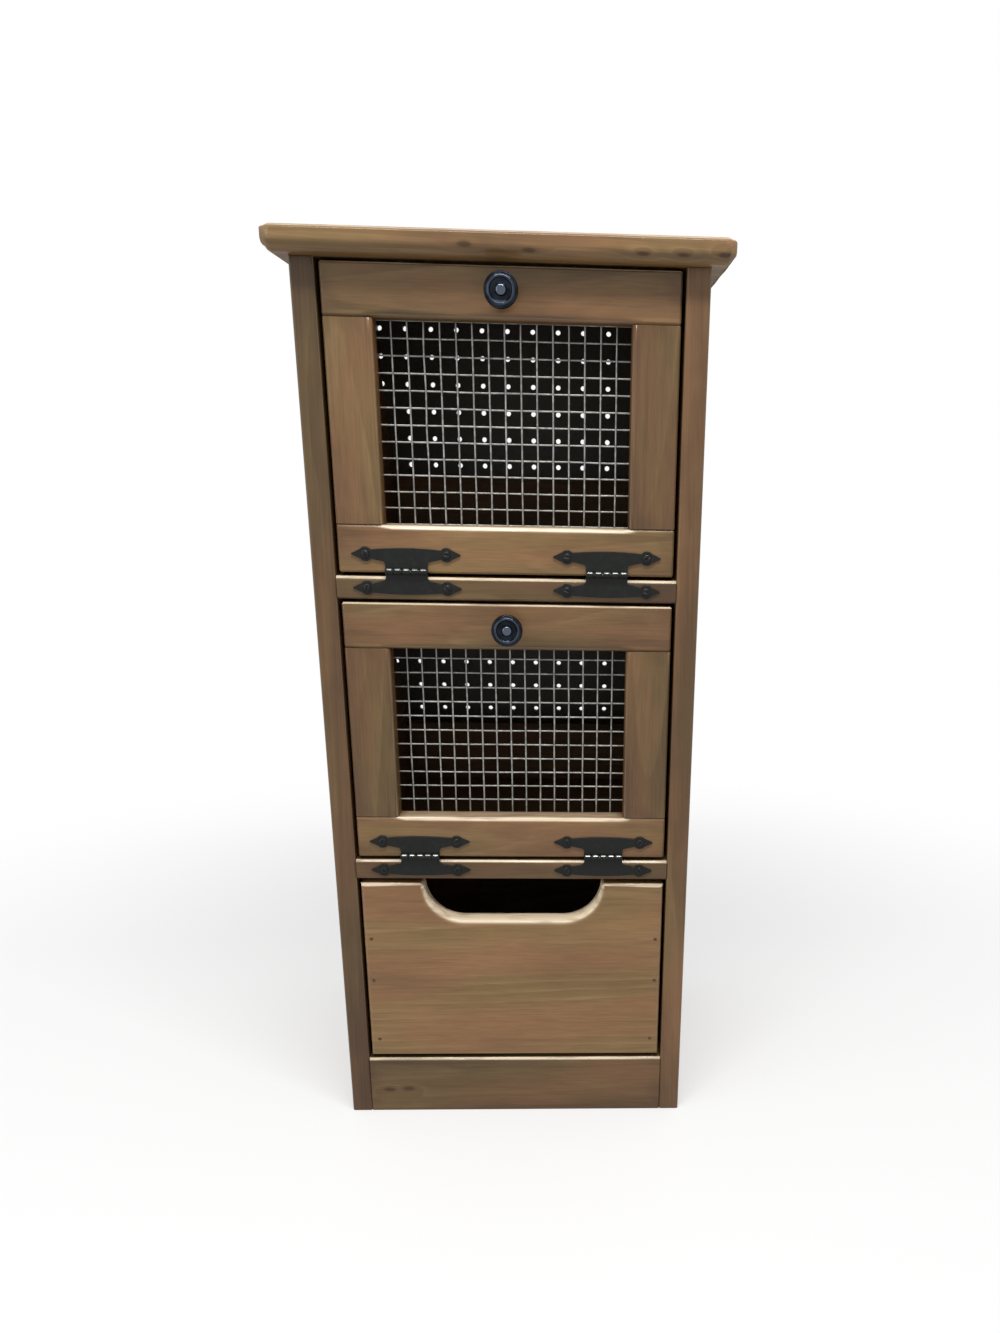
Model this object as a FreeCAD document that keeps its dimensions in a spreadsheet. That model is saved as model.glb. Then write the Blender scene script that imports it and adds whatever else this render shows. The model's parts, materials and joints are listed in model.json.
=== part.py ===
"""Tilt-out vegetable bin cabinet, in millimetres.

A narrow pine cabinet stands on its two side boards.  Two framed doors with wire
windows each carry a wooden bin and tilt forward on surface hinges, and a drawer
with a scooped hand grip runs under them on the cabinet's floor board.

Axes: +Z up, the doors face -Y.  The origin is on the floor, in the middle of the
whole cabinet's footprint (knobs and top board included).
"""
import FreeCAD, Part
import math
import os
import Sketcher
from FreeCAD import Vector

# Driving dimensions: alias, value and what it is.  Everything below follows them.
DRIVING_SIZES = [
    ("carcass_width", 320.0, "over the two side boards"),
    ("case_depth", 286.0, "front to rear of the side boards"),
    ("side_height", 743.0, "floor to the underside of the top board"),
    ("board", 19.0, "thickness of the case boards and the door frames"),
    ("top_thickness", 19.0, "top board"),
    ("top_overhang", 17.5, "top board past the case, front and sides"),
    ("top_round", 3.0, "round on the top board's upper edges"),
    ("under_round", 5.0, "round on the top board's lower edges"),
    ("edge_round", 2.0, "eased front edges of the boards"),
    ("kick_height", 58.0, "board below the drawer"),
    ("drawer_opening", 185.0, "height of the drawer's compartment"),
    ("lower_opening", 229.5, "height of the lower bin's compartment"),
    ("door_side_gap", 3.0, "each side of a door or drawer front"),
    ("door_foot_gap", 2.5, "under a door"),
    ("door_head_gap", 2.5, "over a door"),
    ("rail_width", 38.0, "top and bottom rails of a door frame"),
    ("stile_width", 38.0, "stiles of a door frame"),
    ("wire_pitch", 12.7, "one gap of the wire net"),
    ("wire_size", 1.1, "net wire"),
    ("net_lap", 12.5, "net behind the rails"),
    ("net_side_clearance", 5.0, "net to a bin's side"),
    ("bin_board", 12.0, "bin sides, bottom and back"),
    ("bin_side_clearance", 9.0, "bin side to the case side"),
    ("bin_foot_gap", 0.5, "bin over the shelf it rests on"),
    ("bin_depth", 225.0, "bin behind its door"),
    ("bin_back_height", 73.5, "over the bin's underside"),
    ("bin_sweep_clearance", 3.0, "bin side's arc to the board above"),
    ("hinge_offset", 82.5, "hinge's middle from the cabinet's middle"),
    ("leaf_thickness", 1.6, "hinge plate"),
    ("leaf_half_length", 44.5, "hinge's middle to the tip of a spear"),
    ("leaf_reach", 18.6, "pin to the middle of the leaf's outer edge"),
    ("leaf_shoulder", 8.0, "pin to the leaf's inner edge"),
    ("spear_centre", 33.0, "hinge's middle to a spear's round"),
    ("spear_offset", 13.5, "pin to a spear's round"),
    ("spear_radius", 5.7, "a spear's round"),
    ("neck_width", 34.6, "leaf beside the knuckles"),
    ("neck_fillet", 3.0, "between neck and leaf"),
    ("barrel_radius", 2.5, "knuckle"),
    ("barrel_standoff", 0.2, "knuckle to the door's face"),
    ("knuckle_gap", 0.3, "between neighbouring knuckles"),
    ("pin_radius", 1.25, "hinge pin"),
    ("pin_clearance", 0.05, "pin in its bore"),
    ("screw_radius", 1.6, "shank of a hinge screw, to its flats"),
    ("screw_head_radius", 3.4, "head of a hinge screw"),
    ("screw_head_height", 1.9, "head of a hinge screw"),
    ("screw_bite", 13.0, "hinge screw in the wood"),
    ("knob_head_radius", 13.0, "knob's head"),
    ("knob_reach", 22.0, "knob in front of its door"),
    ("knob_foot_radius", 7.0, "knob's foot on the rail"),
    ("knob_neck_radius", 5.2, "knob's narrowest place"),
    ("knob_button_radius", 4.0, "button in the middle of the face"),
    ("stud_radius", 2.0, "knob's screw"),
    ("stud_clearance", 0.4, "screw in the rail"),
    ("stud_bite", 11.0, "screw in the knob"),
    ("stud_head_radius", 4.0, "screw's head behind the rail"),
    ("stud_head_height", 2.2, "screw's head behind the rail"),
    ("drawer_foot_gap", 3.5, "under the drawer's front"),
    ("drawer_head_gap", 4.0, "over the drawer's front"),
    ("drawer_running_gap", 0.3, "drawer's sides over the floor board"),
    ("drawer_rear_gap", 1.0, "drawer to the back panel"),
    ("drawer_side_height", 150.0, "drawer's sides and back"),
    ("drawer_panel", 6.0, "drawer's bottom panel"),
    ("scoop_width", 162.0, "hand grip in the drawer's front"),
    ("scoop_depth", 36.0, "hand grip in the drawer's front"),
    ("scoop_bevel", 3.0, "softened edge of the hand grip"),
    ("back_thickness", 6.0, "perforated hardboard back"),
    ("peg_pitch", 25.4, "holes of the back panel"),
    ("peg_radius", 3.2, "hole of the back panel, to its corners"),
    ("peg_first_row", 21.0, "panel's top edge to the first row"),
    ("peg_margin", 24.0, "side board to the outer column of holes"),
]

# Rows of holes that each wire window looks through: how many, and the row that each
# group starts with, counted from the top.
PEG_ROWS = 3
PEG_GROUPS = (0, 13)

# Counts of what repeats, and of the flats that stand for small rounds.
KNUCKLES = 5
BARREL_SIDES = 12
KNOB_SIDES = 28
SCREW_SIDES = 8
PEG_SIDES = 4
ROUND_STEPS = 3
BOW_STEPS = 3

# Where a spear's round meets the leaf and its pointed tip, in degrees from the tip.
SPEAR_JOIN = 140
SPEAR_FLANK = 42

# Heights of a knob's rings, as parts of its reach.
KNOB_FOOT = 0.12
KNOB_NECK = 0.36
KNOB_BACK = 0.66
KNOB_RIM = 0.84
KNOB_FACE = 0.93

doc = FreeCAD.newDocument("vegetable_bin_cabinet")
sheet = doc.addObject("Spreadsheet::Sheet", "Sizes")
for row, (alias, value, meaning) in enumerate(DRIVING_SIZES, start=1):
    sheet.set("A%d" % row, alias)
    sheet.set("B%d" % row, "%g" % value)
    sheet.setAlias("B%d" % row, alias)
    sheet.set("C%d" % row, meaning)
doc.recompute()


class Length:
    """A length held twice: as an expression of the sheet's cells, and as its number."""

    def __init__(self, text, value):
        self.text = text
        self.value = float(value)

    @staticmethod
    def of(item):
        return item if isinstance(item, Length) else Length("%g" % item, item)

    def __add__(self, other):
        other = Length.of(other)
        return Length("(%s + %s)" % (self.text, other.text), self.value + other.value)

    def __sub__(self, other):
        other = Length.of(other)
        return Length("(%s - %s)" % (self.text, other.text), self.value - other.value)

    def __mul__(self, other):
        other = Length.of(other)
        return Length("(%s * %s)" % (self.text, other.text), self.value * other.value)

    def __truediv__(self, other):
        other = Length.of(other)
        return Length("(%s / %s)" % (self.text, other.text), self.value / other.value)

    def __neg__(self):
        return Length("(-1 * %s)" % self.text, -self.value)

    def root(self):
        return Length("sqrt(%s)" % self.text, math.sqrt(self.value))


def cell(alias):
    """One of the sheet's sizes."""
    return Length("Sizes." + alias, sheet.get(alias))


ZERO = Length("0", 0)
BOARD = cell("board")
BIN_BOARD = cell("bin_board")

# Heights of the case's boards, from the floor up.
FLOOR_TOP = cell("kick_height")
LOWER_SHELF = FLOOR_TOP + cell("drawer_opening")
LOWER_FLOOR = LOWER_SHELF + BOARD
UPPER_SHELF = LOWER_FLOOR + cell("lower_opening")
UPPER_FLOOR = UPPER_SHELF + BOARD
CASE_TOP = cell("side_height")

# Depths: the footprint's middle is at Y = 0.
FRONT = -(cell("case_depth") + cell("back_thickness") - cell("knob_reach")) / 2
REAR = FRONT + cell("case_depth")
DOOR_BACK = FRONT + BOARD

# Widths.
HALF_CASE = cell("carcass_width") / 2
HALF_INSIDE = HALF_CASE - BOARD
HALF_DOOR = HALF_INSIDE - cell("door_side_gap")
HALF_BIN = HALF_INSIDE - cell("bin_side_clearance")
HALF_BIN_INSIDE = HALF_BIN - BIN_BOARD

# The hinge pins lie in front of the doors' faces, and the hinges' lower screws
# in the middle of the shelves' front edges.
PIN_Y = FRONT - cell("barrel_radius") - cell("barrel_standoff")
PIN_OVER_SHELF = cell("spear_offset") - BOARD / 2


def add_body(label):
    """An empty body that carries the name of its piece."""
    body = doc.addObject("PartDesign::Body", label)
    body.Label = label
    return body


def place(item, x, y, z):
    """Bind an object's place to the sheet."""
    for axis, length in zip("xyz", (x, y, z)):
        item.setExpression("Placement.Base." + axis, Length.of(length).text)


def add_sketch(body, name, role):
    """A sketch on one of the body's own origin planes."""
    plane = [item for item in body.Origin.OriginFeatures if item.Role == role][0]
    sketch = body.newObject("Sketcher::SketchObject", name)
    sketch.AttachmentSupport = (plane, [""])
    sketch.MapMode = "FlatFace"
    return sketch


def bind(sketch, constraint, name, length):
    """Add a named dimension to a sketch and bind it to the sheet."""
    sketch.renameConstraint(sketch.addConstraint(constraint), name)
    sketch.setExpression("Constraints." + name, length.text)


def pin_point(sketch, geometry, end, name, u, v):
    """Fix one end of a line or arc at (u, v) from the sketch's origin."""
    root, axes = (-1, 1), {"DistanceX": -2, "DistanceY": -1}
    for kind, length in (("DistanceX", u), ("DistanceY", v)):
        if abs(length.value) < 1e-9:
            sketch.addConstraint(Sketcher.Constraint("PointOnObject", geometry, end, axes[kind]))
            continue
        ends = root + (geometry, end) if length.value > 0 else (geometry, end) + root
        size = length if length.value > 0 else -length
        bind(sketch, Sketcher.Constraint(kind, *ends, size.value), name + kind[-1].lower(), size)


def draw_outline(sketch, corners, arcs=None):
    """A closed outline through corners; arcs maps a side's number to (centre, radius).

    Side n runs from corner n to the next.  Every corner is dimensioned from the
    origin and every arc has its radius, so nothing in the outline is free.
    """
    arcs = arcs or {}
    points = [Vector(u.value, v.value, 0) for u, v in corners]
    for number, start in enumerate(points):
        end = points[(number + 1) % len(points)]
        if number in arcs:
            centre = Vector(arcs[number][0][0].value, arcs[number][0][1].value, 0)
            outwards = ((start + end) / 2 - centre).normalize()
            halfway = centre + outwards * arcs[number][1].value
            clockwise = (start - centre).cross(end - centre).z < 0
            ends = (end, start) if clockwise else (start, end)
            sketch.addGeometry(Part.Arc(ends[0], halfway, ends[1]), False)
        else:
            sketch.addGeometry(Part.LineSegment(start, end), False)
    starts = [start_end(sketch, number, point) for number, point in enumerate(points)]
    for number in range(len(points)):
        following = (number + 1) % len(points)
        sketch.addConstraint(
            Sketcher.Constraint("Coincident", number, 3 - starts[number], following, starts[following]))
    for number, (u, v) in enumerate(corners):
        pin_point(sketch, number, starts[number], "corner%d" % number, u, v)
    for number, (centre, radius) in arcs.items():
        bind(sketch, Sketcher.Constraint("Radius", number, radius.value), "radius%d" % number, radius)


def start_end(sketch, number, start):
    """1 or 2: which end of a sketch's line or arc lies at its side's first corner."""
    return 1 if sketch.Geometry[number].StartPoint.distanceToPoint(start) < 1e-6 else 2


def pad(body, sketch, length, backwards=False):
    """Pad a sketch by a bound length."""
    feature = body.newObject("PartDesign::Pad", body.Label + "_pad")
    feature.Profile = sketch
    feature.setExpression("Length", length.text)
    feature.Reversed = backwards
    doc.recompute()
    return feature


SIDES = {"left": "XMin", "right": "XMax", "front": "YMin", "rear": "YMax", "bottom": "ZMin", "top": "ZMax"}


def edges_between(shape, pairs):
    """Names of the edges where two named outer sides of a shape meet."""
    box = shape.BoundBox
    found = []
    for number, edge in enumerate(shape.Edges, start=1):
        for pair in pairs:
            reach = [abs(getattr(edge.BoundBox, SIDES[side]) - getattr(box, SIDES[side])) for side in pair]
            flat = [getattr(edge.BoundBox, SIDES[side][0] + "Length") for side in pair]
            if max(reach) < 1e-4 and max(flat) < 1e-4:
                found.append("Edge%d" % number)
    return found


def round_edges(body, base, edge_names, radius, name):
    """Round some edges of the last feature."""
    feature = body.newObject("PartDesign::Fillet", "%s_%s" % (body.Label, name))
    feature.Base = (base, edge_names)
    feature.setExpression("Radius", radius.text)
    doc.recompute()
    return feature


def bevel_edges(body, base, edge_names, width, name):
    """Bevel some edges of the last feature at 45 degrees."""
    feature = body.newObject("PartDesign::Chamfer", "%s_%s" % (body.Label, name))
    feature.Base = (base, edge_names)
    feature.setExpression("Size", width.text)
    doc.recompute()
    return feature


def add_board(label, low, size, rounds=(), radius=None):
    """A straight board from its low corner and its sizes along X, Y and Z.

    rounds lists the edges that are eased, each as the two sides it lies between.
    """
    body = add_body(label)
    width, depth, height = size
    sketch = add_sketch(body, label + "_outline", "XY_Plane")
    draw_outline(sketch, [(ZERO, ZERO), (width, ZERO), (width, depth), (ZERO, depth)])
    solid = pad(body, sketch, height)
    if rounds:
        names = edges_between(solid.Shape, rounds)
        round_edges(body, solid, names, radius or cell("edge_round"), "eased")
    place(body, *low)
    return body


def add_shape(label, shape, x=ZERO, y=ZERO, z=ZERO):
    """A piece whose shape is worked out from the sheet's sizes."""
    item = doc.addObject("Part::Feature", label)
    item.Label = label
    item.Shape = shape
    item.Placement = FreeCAD.Placement(Vector(x.value, y.value, z.value), FreeCAD.Rotation())
    return item


# ---------------------------------------------------------------- the case

def add_case():
    """Top, sides, shelves, floor board and kick board."""
    overhang = cell("top_overhang")
    top = add_board(
        "top_board", (-HALF_CASE - overhang, FRONT - overhang, CASE_TOP),
        (cell("carcass_width") + overhang * 2,
         overhang + cell("case_depth") + cell("back_thickness"), cell("top_thickness")),
        [("front", "top"), ("left", "top"), ("right", "top")], cell("top_round"))
    eased = top.Tip
    names = edges_between(eased.Shape, [("front", "bottom"), ("left", "bottom"), ("right", "bottom")])
    round_edges(top, eased, names, cell("under_round"), "under")

    side_size = (BOARD, cell("case_depth"), CASE_TOP)
    uprights = [("front", "left"), ("front", "right")]
    add_board("left_side", (-HALF_CASE, FRONT, ZERO), side_size, uprights)
    add_board("right_side", (HALF_INSIDE, FRONT, ZERO), side_size, uprights)

    shelf_size = (HALF_INSIDE * 2, cell("case_depth"), BOARD)
    lips = [("front", "top"), ("front", "bottom")]
    add_board("upper_shelf", (-HALF_INSIDE, FRONT, UPPER_SHELF), shelf_size, lips)
    add_board("lower_shelf", (-HALF_INSIDE, FRONT, LOWER_SHELF), shelf_size, lips)
    add_board("kick_board", (-HALF_INSIDE, FRONT, ZERO),
              (HALF_INSIDE * 2, BOARD, FLOOR_TOP), [("front", "top")])
    add_board("floor_board", (-HALF_INSIDE, DOOR_BACK, FLOOR_TOP - BOARD),
              (HALF_INSIDE * 2, cell("case_depth") - BOARD, BOARD))


def polygon_points(sides, radius, x, z, y=0.0):
    """Corners of a regular polygon that faces Y, around (x, z)."""
    step = 2 * math.pi / sides
    return [Vector(x + radius * math.cos(step * n), y, z + radius * math.sin(step * n)) for n in range(sides)]


def polygon(sides, radius, x, z, y=0.0):
    """A closed regular polygon facing Y, around (x, z)."""
    corners = polygon_points(sides, radius, x, z, y)
    return Part.makePolygon(corners + corners[:1])


def prism(sides, radius, x, z, start, end):
    """A bar with a regular polygon for its section, along Y from start to end."""
    return Part.Face(polygon(sides, radius, x, z, start)).extrude(Vector(0, end - start, 0))


def stack(rims):
    """A solid of flat facets through polygons of as many corners, one above the other."""
    faces = [Part.Face(Part.makePolygon(rim + rim[:1])) for rim in (rims[0], rims[-1])]
    for lower, upper in zip(rims, rims[1:]):
        for n in range(len(lower)):
            after = (n + 1) % len(lower)
            quad = [lower[n], lower[after], upper[after], upper[n], lower[n]]
            faces.append(Part.Face(Part.makePolygon(quad)))
    solid = Part.Solid(Part.Shell(faces))
    if solid.Volume < 0:
        solid.reverse()
    return solid


def rectangle(low_x, low_z, high_x, high_z, y=0.0):
    """A closed rectangle facing Y."""
    corners = [Vector(low_x, y, low_z), Vector(high_x, y, low_z),
               Vector(high_x, y, high_z), Vector(low_x, y, high_z)]
    return Part.makePolygon(corners + corners[:1])


def pierced_sheet(outline, holes, thickness):
    """A flat sheet with holes: one holed face, thickened towards +Y."""
    face = Part.makeFace([outline] + holes, "Part::FaceMakerBullseye")
    return face.extrude(Vector(0, thickness, 0))


def add_back_panel():
    """Hardboard with its lattice of holes where the wire windows look through."""
    low = (FLOOR_TOP - BOARD).value
    height = CASE_TOP.value - low
    pitch = cell("peg_pitch").value
    first_row = height - cell("peg_first_row").value
    half_field = HALF_INSIDE.value - cell("peg_margin").value
    columns = 2 * int(half_field / pitch + 0.5)
    holes = []
    for start in PEG_GROUPS:
        for row in range(PEG_ROWS):
            for column in range(columns):
                x = (column - (columns - 1) / 2) * pitch
                z = first_row - (start + row) * pitch
                holes.append(polygon(PEG_SIDES, cell("peg_radius").value, x, z))
    outline = rectangle(-HALF_CASE.value, 0, HALF_CASE.value, height)
    panel = pierced_sheet(outline, holes, cell("back_thickness").value)
    add_shape("back_panel", panel, ZERO, REAR, FLOOR_TOP - BOARD)


# ---------------------------------------------------------------- hinges

def leaf_outline():
    """A leaf seen from the front, above the pin: neck, shoulders, spears and bowed edge."""
    half_neck = cell("neck_width").value / 2
    shoulder = cell("leaf_shoulder").value
    fillet = cell("neck_fillet").value
    centre, middle = cell("spear_centre").value, cell("spear_offset").value
    radius = cell("spear_radius").value
    tip = cell("leaf_half_length").value
    reach = cell("leaf_reach").value

    def on_round(degrees):
        angle = math.radians(degrees)
        return centre + radius * math.cos(angle), middle - radius * math.sin(angle)

    step = (SPEAR_JOIN - SPEAR_FLANK) / ROUND_STEPS
    low_arc = [on_round(SPEAR_JOIN - n * step) for n in range(ROUND_STEPS + 1)]
    high_arc = [(x, 2 * middle - z) for x, z in reversed(low_arc)]
    join_x, join_z = high_arc[-1]
    left_over = [1 - n / BOW_STEPS for n in range(1, BOW_STEPS + 1)]
    bow = [(join_x * part, reach - (reach - join_z) * part ** 2) for part in left_over]
    half = [(half_neck, 0), (half_neck, shoulder - fillet), (half_neck + fillet, shoulder)]
    half += low_arc + [(tip, middle)] + high_arc + bow
    other_half = [(-x, z) for x, z in reversed(half[:-1])]
    corners = [Vector(x, 0, z) for x, z in half + other_half]
    return Part.makePolygon(corners + corners[:1])


def barrel(radius, start, end):
    """A bar of BARREL_SIDES flats along X, about the pin; radius is to its flats."""
    corner = radius / math.cos(math.pi / BARREL_SIDES)
    step = 2 * math.pi / BARREL_SIDES
    corners = [Vector(start, corner * math.cos(step * (n + 0.5)), corner * math.sin(step * (n + 0.5)))
               for n in range(BARREL_SIDES)]
    return Part.Face(Part.makePolygon(corners + corners[:1])).extrude(Vector(end - start, 0, 0))


def knuckle_span(number):
    """Both ends of one knuckle along the pin."""
    length, gap = cell("neck_width").value, cell("knuckle_gap").value
    knuckle = (length - gap * (KNUCKLES - 1)) / KNUCKLES
    start = -length / 2 + number * (knuckle + gap)
    return start, start + knuckle


def hinge_leaf(own_knuckles):
    """A leaf above its pin: plate, its own knuckles, and room for the other leaf's."""
    radius, gap = cell("barrel_radius").value, cell("knuckle_gap").value
    back = radius + cell("barrel_standoff").value
    thickness = cell("leaf_thickness").value
    leaf = Part.Face(leaf_outline()).extrude(Vector(0, -thickness, 0))
    leaf.translate(Vector(0, back, 0))
    for side in (-1, 1):
        leaf = leaf.cut(prism(SCREW_SIDES, cell("screw_radius").value, side * cell("spear_centre").value,
                              cell("spear_offset").value, back - thickness, back))
    for number in range(KNUCKLES):
        start, end = knuckle_span(number)
        if number in own_knuckles:
            leaf = leaf.fuse(barrel(radius, start, end))
        else:
            room = Part.makeBox(end - start + 2 * gap, thickness, radius + gap,
                                Vector(start - gap, back - thickness, 0))
            leaf = leaf.cut(room)
    half = cell("neck_width").value / 2
    bore = barrel(cell("pin_radius").value + cell("pin_clearance").value, -half, half)
    return leaf.cut(bore).removeSplitter()


def hinge_places():
    """Middle of each hinge: its name, which bin it carries, and its X and pin height."""
    places = []
    for bin_name, floor in (("upper", UPPER_FLOOR), ("lower", LOWER_FLOOR)):
        for side_name, side in (("left", -1), ("right", 1)):
            places.append((bin_name, side_name, cell("hinge_offset") * side, floor + PIN_OVER_SHELF))
    return places


def screw_shape(x, z, face_y):
    """A domed wood screw driven towards +Y through a leaf on the face at face_y."""
    thickness, head = cell("leaf_thickness").value, cell("screw_head_height").value
    seat = face_y - thickness
    radius = cell("screw_head_radius").value
    rims = [polygon_points(SCREW_SIDES, size, x, z, seat - rise)
            for size, rise in ((radius, 0), (radius * 0.85, head * 0.6), (radius * 0.4, head))]
    shank = prism(SCREW_SIDES, cell("screw_radius").value, x, z, seat, face_y + cell("screw_bite").value)
    return stack(rims).fuse(shank)


def add_hinges():
    """Eight leaves, four pins, and the screws in groups by the board they hold to."""
    door_knuckles = range(1, KNUCKLES, 2)
    case_knuckles = range(0, KNUCKLES, 2)
    pins, case_screws = [], []
    door_screws = {"upper": [], "lower": []}
    spear, offset = cell("spear_centre").value, cell("spear_offset").value
    half = cell("neck_width").value / 2
    for bin_name, side_name, x, pin_z in hinge_places():
        stem = "%s_%s_hinge_" % (bin_name, side_name)
        add_shape(stem + "door_leaf", hinge_leaf(door_knuckles), x, PIN_Y, pin_z)
        lower_leaf = hinge_leaf(case_knuckles).mirror(Vector(), Vector(0, 0, 1))
        add_shape(stem + "case_leaf", lower_leaf, x, PIN_Y, pin_z)
        foot = Vector(x.value - half, PIN_Y.value, pin_z.value)
        pin = Part.makeCylinder(cell("pin_radius").value, 2 * half, foot, Vector(1, 0, 0))
        pins.append(pin)
        for side in (-1, 1):
            screw_x = x.value + side * spear
            door_screws[bin_name].append(screw_shape(screw_x, pin_z.value + offset, FRONT.value))
            case_screws.append(screw_shape(screw_x, pin_z.value - offset, FRONT.value))
    add_shape("hinge_pins", Part.makeCompound(pins))
    add_shape("hinge_case_screws", Part.makeCompound(case_screws))
    for bin_name, screws in door_screws.items():
        add_shape(bin_name + "_hinge_door_screws", Part.makeCompound(screws))


# ---------------------------------------------------------------- the tilting bins

def add_top_rail(name, low, size):
    """A door's top rail, bored through its middle for the knob's screw."""
    body = add_board(name, low, size, [("front", "top"), ("front", "left"), ("front", "right")])
    eased = body.Tip
    sketch = add_sketch(body, name + "_bore", "XZ_Plane")
    hole = sketch.addGeometry(Part.Circle(Vector(1, 1, 0), Vector(0, 0, 1), 1), False)
    pin_point(sketch, hole, 3, "middle", size[0] / 2, size[2] / 2)
    radius = cell("stud_radius") + cell("stud_clearance")
    bind(sketch, Sketcher.Constraint("Radius", hole, radius.value), "radius", radius)
    bore = body.newObject("PartDesign::Pocket", name + "_knob_hole")
    bore.Profile = sketch
    bore.Type = "ThroughAll"
    bore.Midplane = True
    doc.recompute()
    if bore.Shape.Volume >= eased.Shape.Volume:
        raise RuntimeError("the knob's hole removes nothing from " + name)
    return body


def add_door(prefix, bottom, height):
    """Frame and wire net of one door; the rails run over the ends of the stiles."""
    rail, stile = cell("rail_width"), cell("stile_width")
    width = HALF_DOOR * 2
    rail_size = (width, BOARD, rail)
    add_top_rail(prefix + "_top_rail", (-HALF_DOOR, FRONT, bottom + height - rail), rail_size)
    add_board(prefix + "_bottom_rail", (-HALF_DOOR, FRONT, bottom), rail_size,
              [("front", "bottom"), ("front", "left"), ("front", "right")])
    stile_size = (stile, BOARD, height - rail * 2)
    add_board(prefix + "_left_stile", (-HALF_DOOR, FRONT, bottom + rail), stile_size, [("front", "left")])
    add_board(prefix + "_right_stile", (HALF_DOOR - stile, FRONT, bottom + rail), stile_size,
              [("front", "right")])

    pitch, wire = cell("wire_pitch").value, cell("wire_size").value
    window_width = (width - stile * 2).value
    window_height = (height - rail * 2).value
    columns, rows = math.ceil(window_width / pitch), math.ceil(window_height / pitch)
    gaps = []
    for column in range(columns):
        for row in range(rows):
            low_x = (column - columns / 2) * pitch + wire / 2
            low_z = (row - rows / 2) * pitch + wire / 2
            gaps.append(rectangle(low_x, low_z, low_x + pitch - wire, low_z + pitch - wire))
    half_width = (HALF_BIN_INSIDE - cell("net_side_clearance")).value
    half_height = window_height / 2 + cell("net_lap").value
    net = pierced_sheet(rectangle(-half_width, -half_height, half_width, half_height), gaps, wire)
    add_shape(prefix + "_wire_net", net, ZERO, DOOR_BACK, bottom + height / 2)


def add_bin(prefix, floor, ceiling):
    """Sides, bottom and back of one bin, behind its door.

    Seen from the side, the bin is a sector about the hinge pin with a heel at the
    rear: the arc passes under the board above, and the heel's top edge comes up
    against it, which ends the tilt.  In a shallow bin under a high board the arc runs
    on to the rear edge.
    """
    pin_z = floor + PIN_OVER_SHELF
    underside = pin_z - floor - cell("bin_foot_gap")
    front = DOOR_BACK - PIN_Y
    rear = front + cell("bin_depth")
    heel = cell("bin_back_height") - underside
    sweep = ceiling - pin_z - cell("bin_sweep_clearance")
    sweep_rear = (sweep * sweep - heel * heel).root()
    sweep_front = (sweep * sweep - front * front).root()
    corners = [(front, -underside), (rear, -underside)]
    if sweep_rear.value < rear.value:
        corners += [(rear, heel), (sweep_rear, heel)]
    else:
        corners.append((rear, (sweep * sweep - rear * rear).root()))
    arc_side = len(corners) - 1
    corners.append((front, sweep_front))
    for side_name, x in (("left", -HALF_BIN), ("right", HALF_BIN_INSIDE)):
        body = add_body("%s_bin_%s_side" % (prefix, side_name))
        sketch = add_sketch(body, body.Label + "_outline", "YZ_Plane")
        draw_outline(sketch, corners, {arc_side: ((ZERO, ZERO), sweep)})
        pad(body, sketch, BIN_BOARD)
        place(body, x, PIN_Y, pin_z)
    low = floor + cell("bin_foot_gap")
    inside = HALF_BIN_INSIDE * 2
    add_board(prefix + "_bin_bottom", (-HALF_BIN_INSIDE, DOOR_BACK, low),
              (inside, cell("bin_depth"), BIN_BOARD))
    add_board(prefix + "_bin_back",
              (-HALF_BIN_INSIDE, DOOR_BACK + cell("bin_depth") - BIN_BOARD, low + BIN_BOARD),
              (inside, BIN_BOARD, cell("bin_back_height") - BIN_BOARD))


def knob_shape():
    """A knob in front of its rail: foot, neck, dished head and button, bored for its screw."""
    foot, neck, head = [cell("knob_%s_radius" % part).value for part in ("foot", "neck", "head")]
    button, reach = cell("knob_button_radius").value, cell("knob_reach").value
    profile = [
        (foot, 0), (foot, reach * KNOB_FOOT), (neck, reach * KNOB_NECK),
        (head, reach * KNOB_BACK), (head, reach * KNOB_RIM), (head - button / 2, reach * KNOB_FACE),
        (button, reach * KNOB_RIM), (button, reach * KNOB_FACE), (button / 2, reach),
    ]
    rims = [polygon_points(KNOB_SIDES, radius, 0, 0, -ahead) for radius, ahead in profile]
    bore = prism(SCREW_SIDES, cell("stud_radius").value, 0, 0, -cell("stud_bite").value, 0)
    return stack(rims).cut(bore)


def add_knob(prefix, rail_middle):
    """A knob on the top rail, and the screw that holds it from behind."""
    add_shape(prefix + "_knob", knob_shape(), ZERO, FRONT, rail_middle)
    rear = BOARD.value
    shank = prism(SCREW_SIDES, cell("stud_radius").value, 0, 0, -cell("stud_bite").value, rear)
    head = prism(SCREW_SIDES, cell("stud_head_radius").value, 0, 0, rear,
                 rear + cell("stud_head_height").value)
    add_shape(prefix + "_knob_screw", shank.fuse(head), ZERO, FRONT, rail_middle)


def add_tilting_bins():
    """Both doors with their bins and knobs."""
    for prefix, floor, ceiling in (("upper", UPPER_FLOOR, CASE_TOP), ("lower", LOWER_FLOOR, UPPER_SHELF)):
        bottom = floor + cell("door_foot_gap")
        height = ceiling - cell("door_head_gap") - bottom
        add_door(prefix, bottom, height)
        add_bin(prefix, floor, ceiling)
        add_knob(prefix, bottom + height - cell("rail_width") / 2)


# ---------------------------------------------------------------- the drawer

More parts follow.
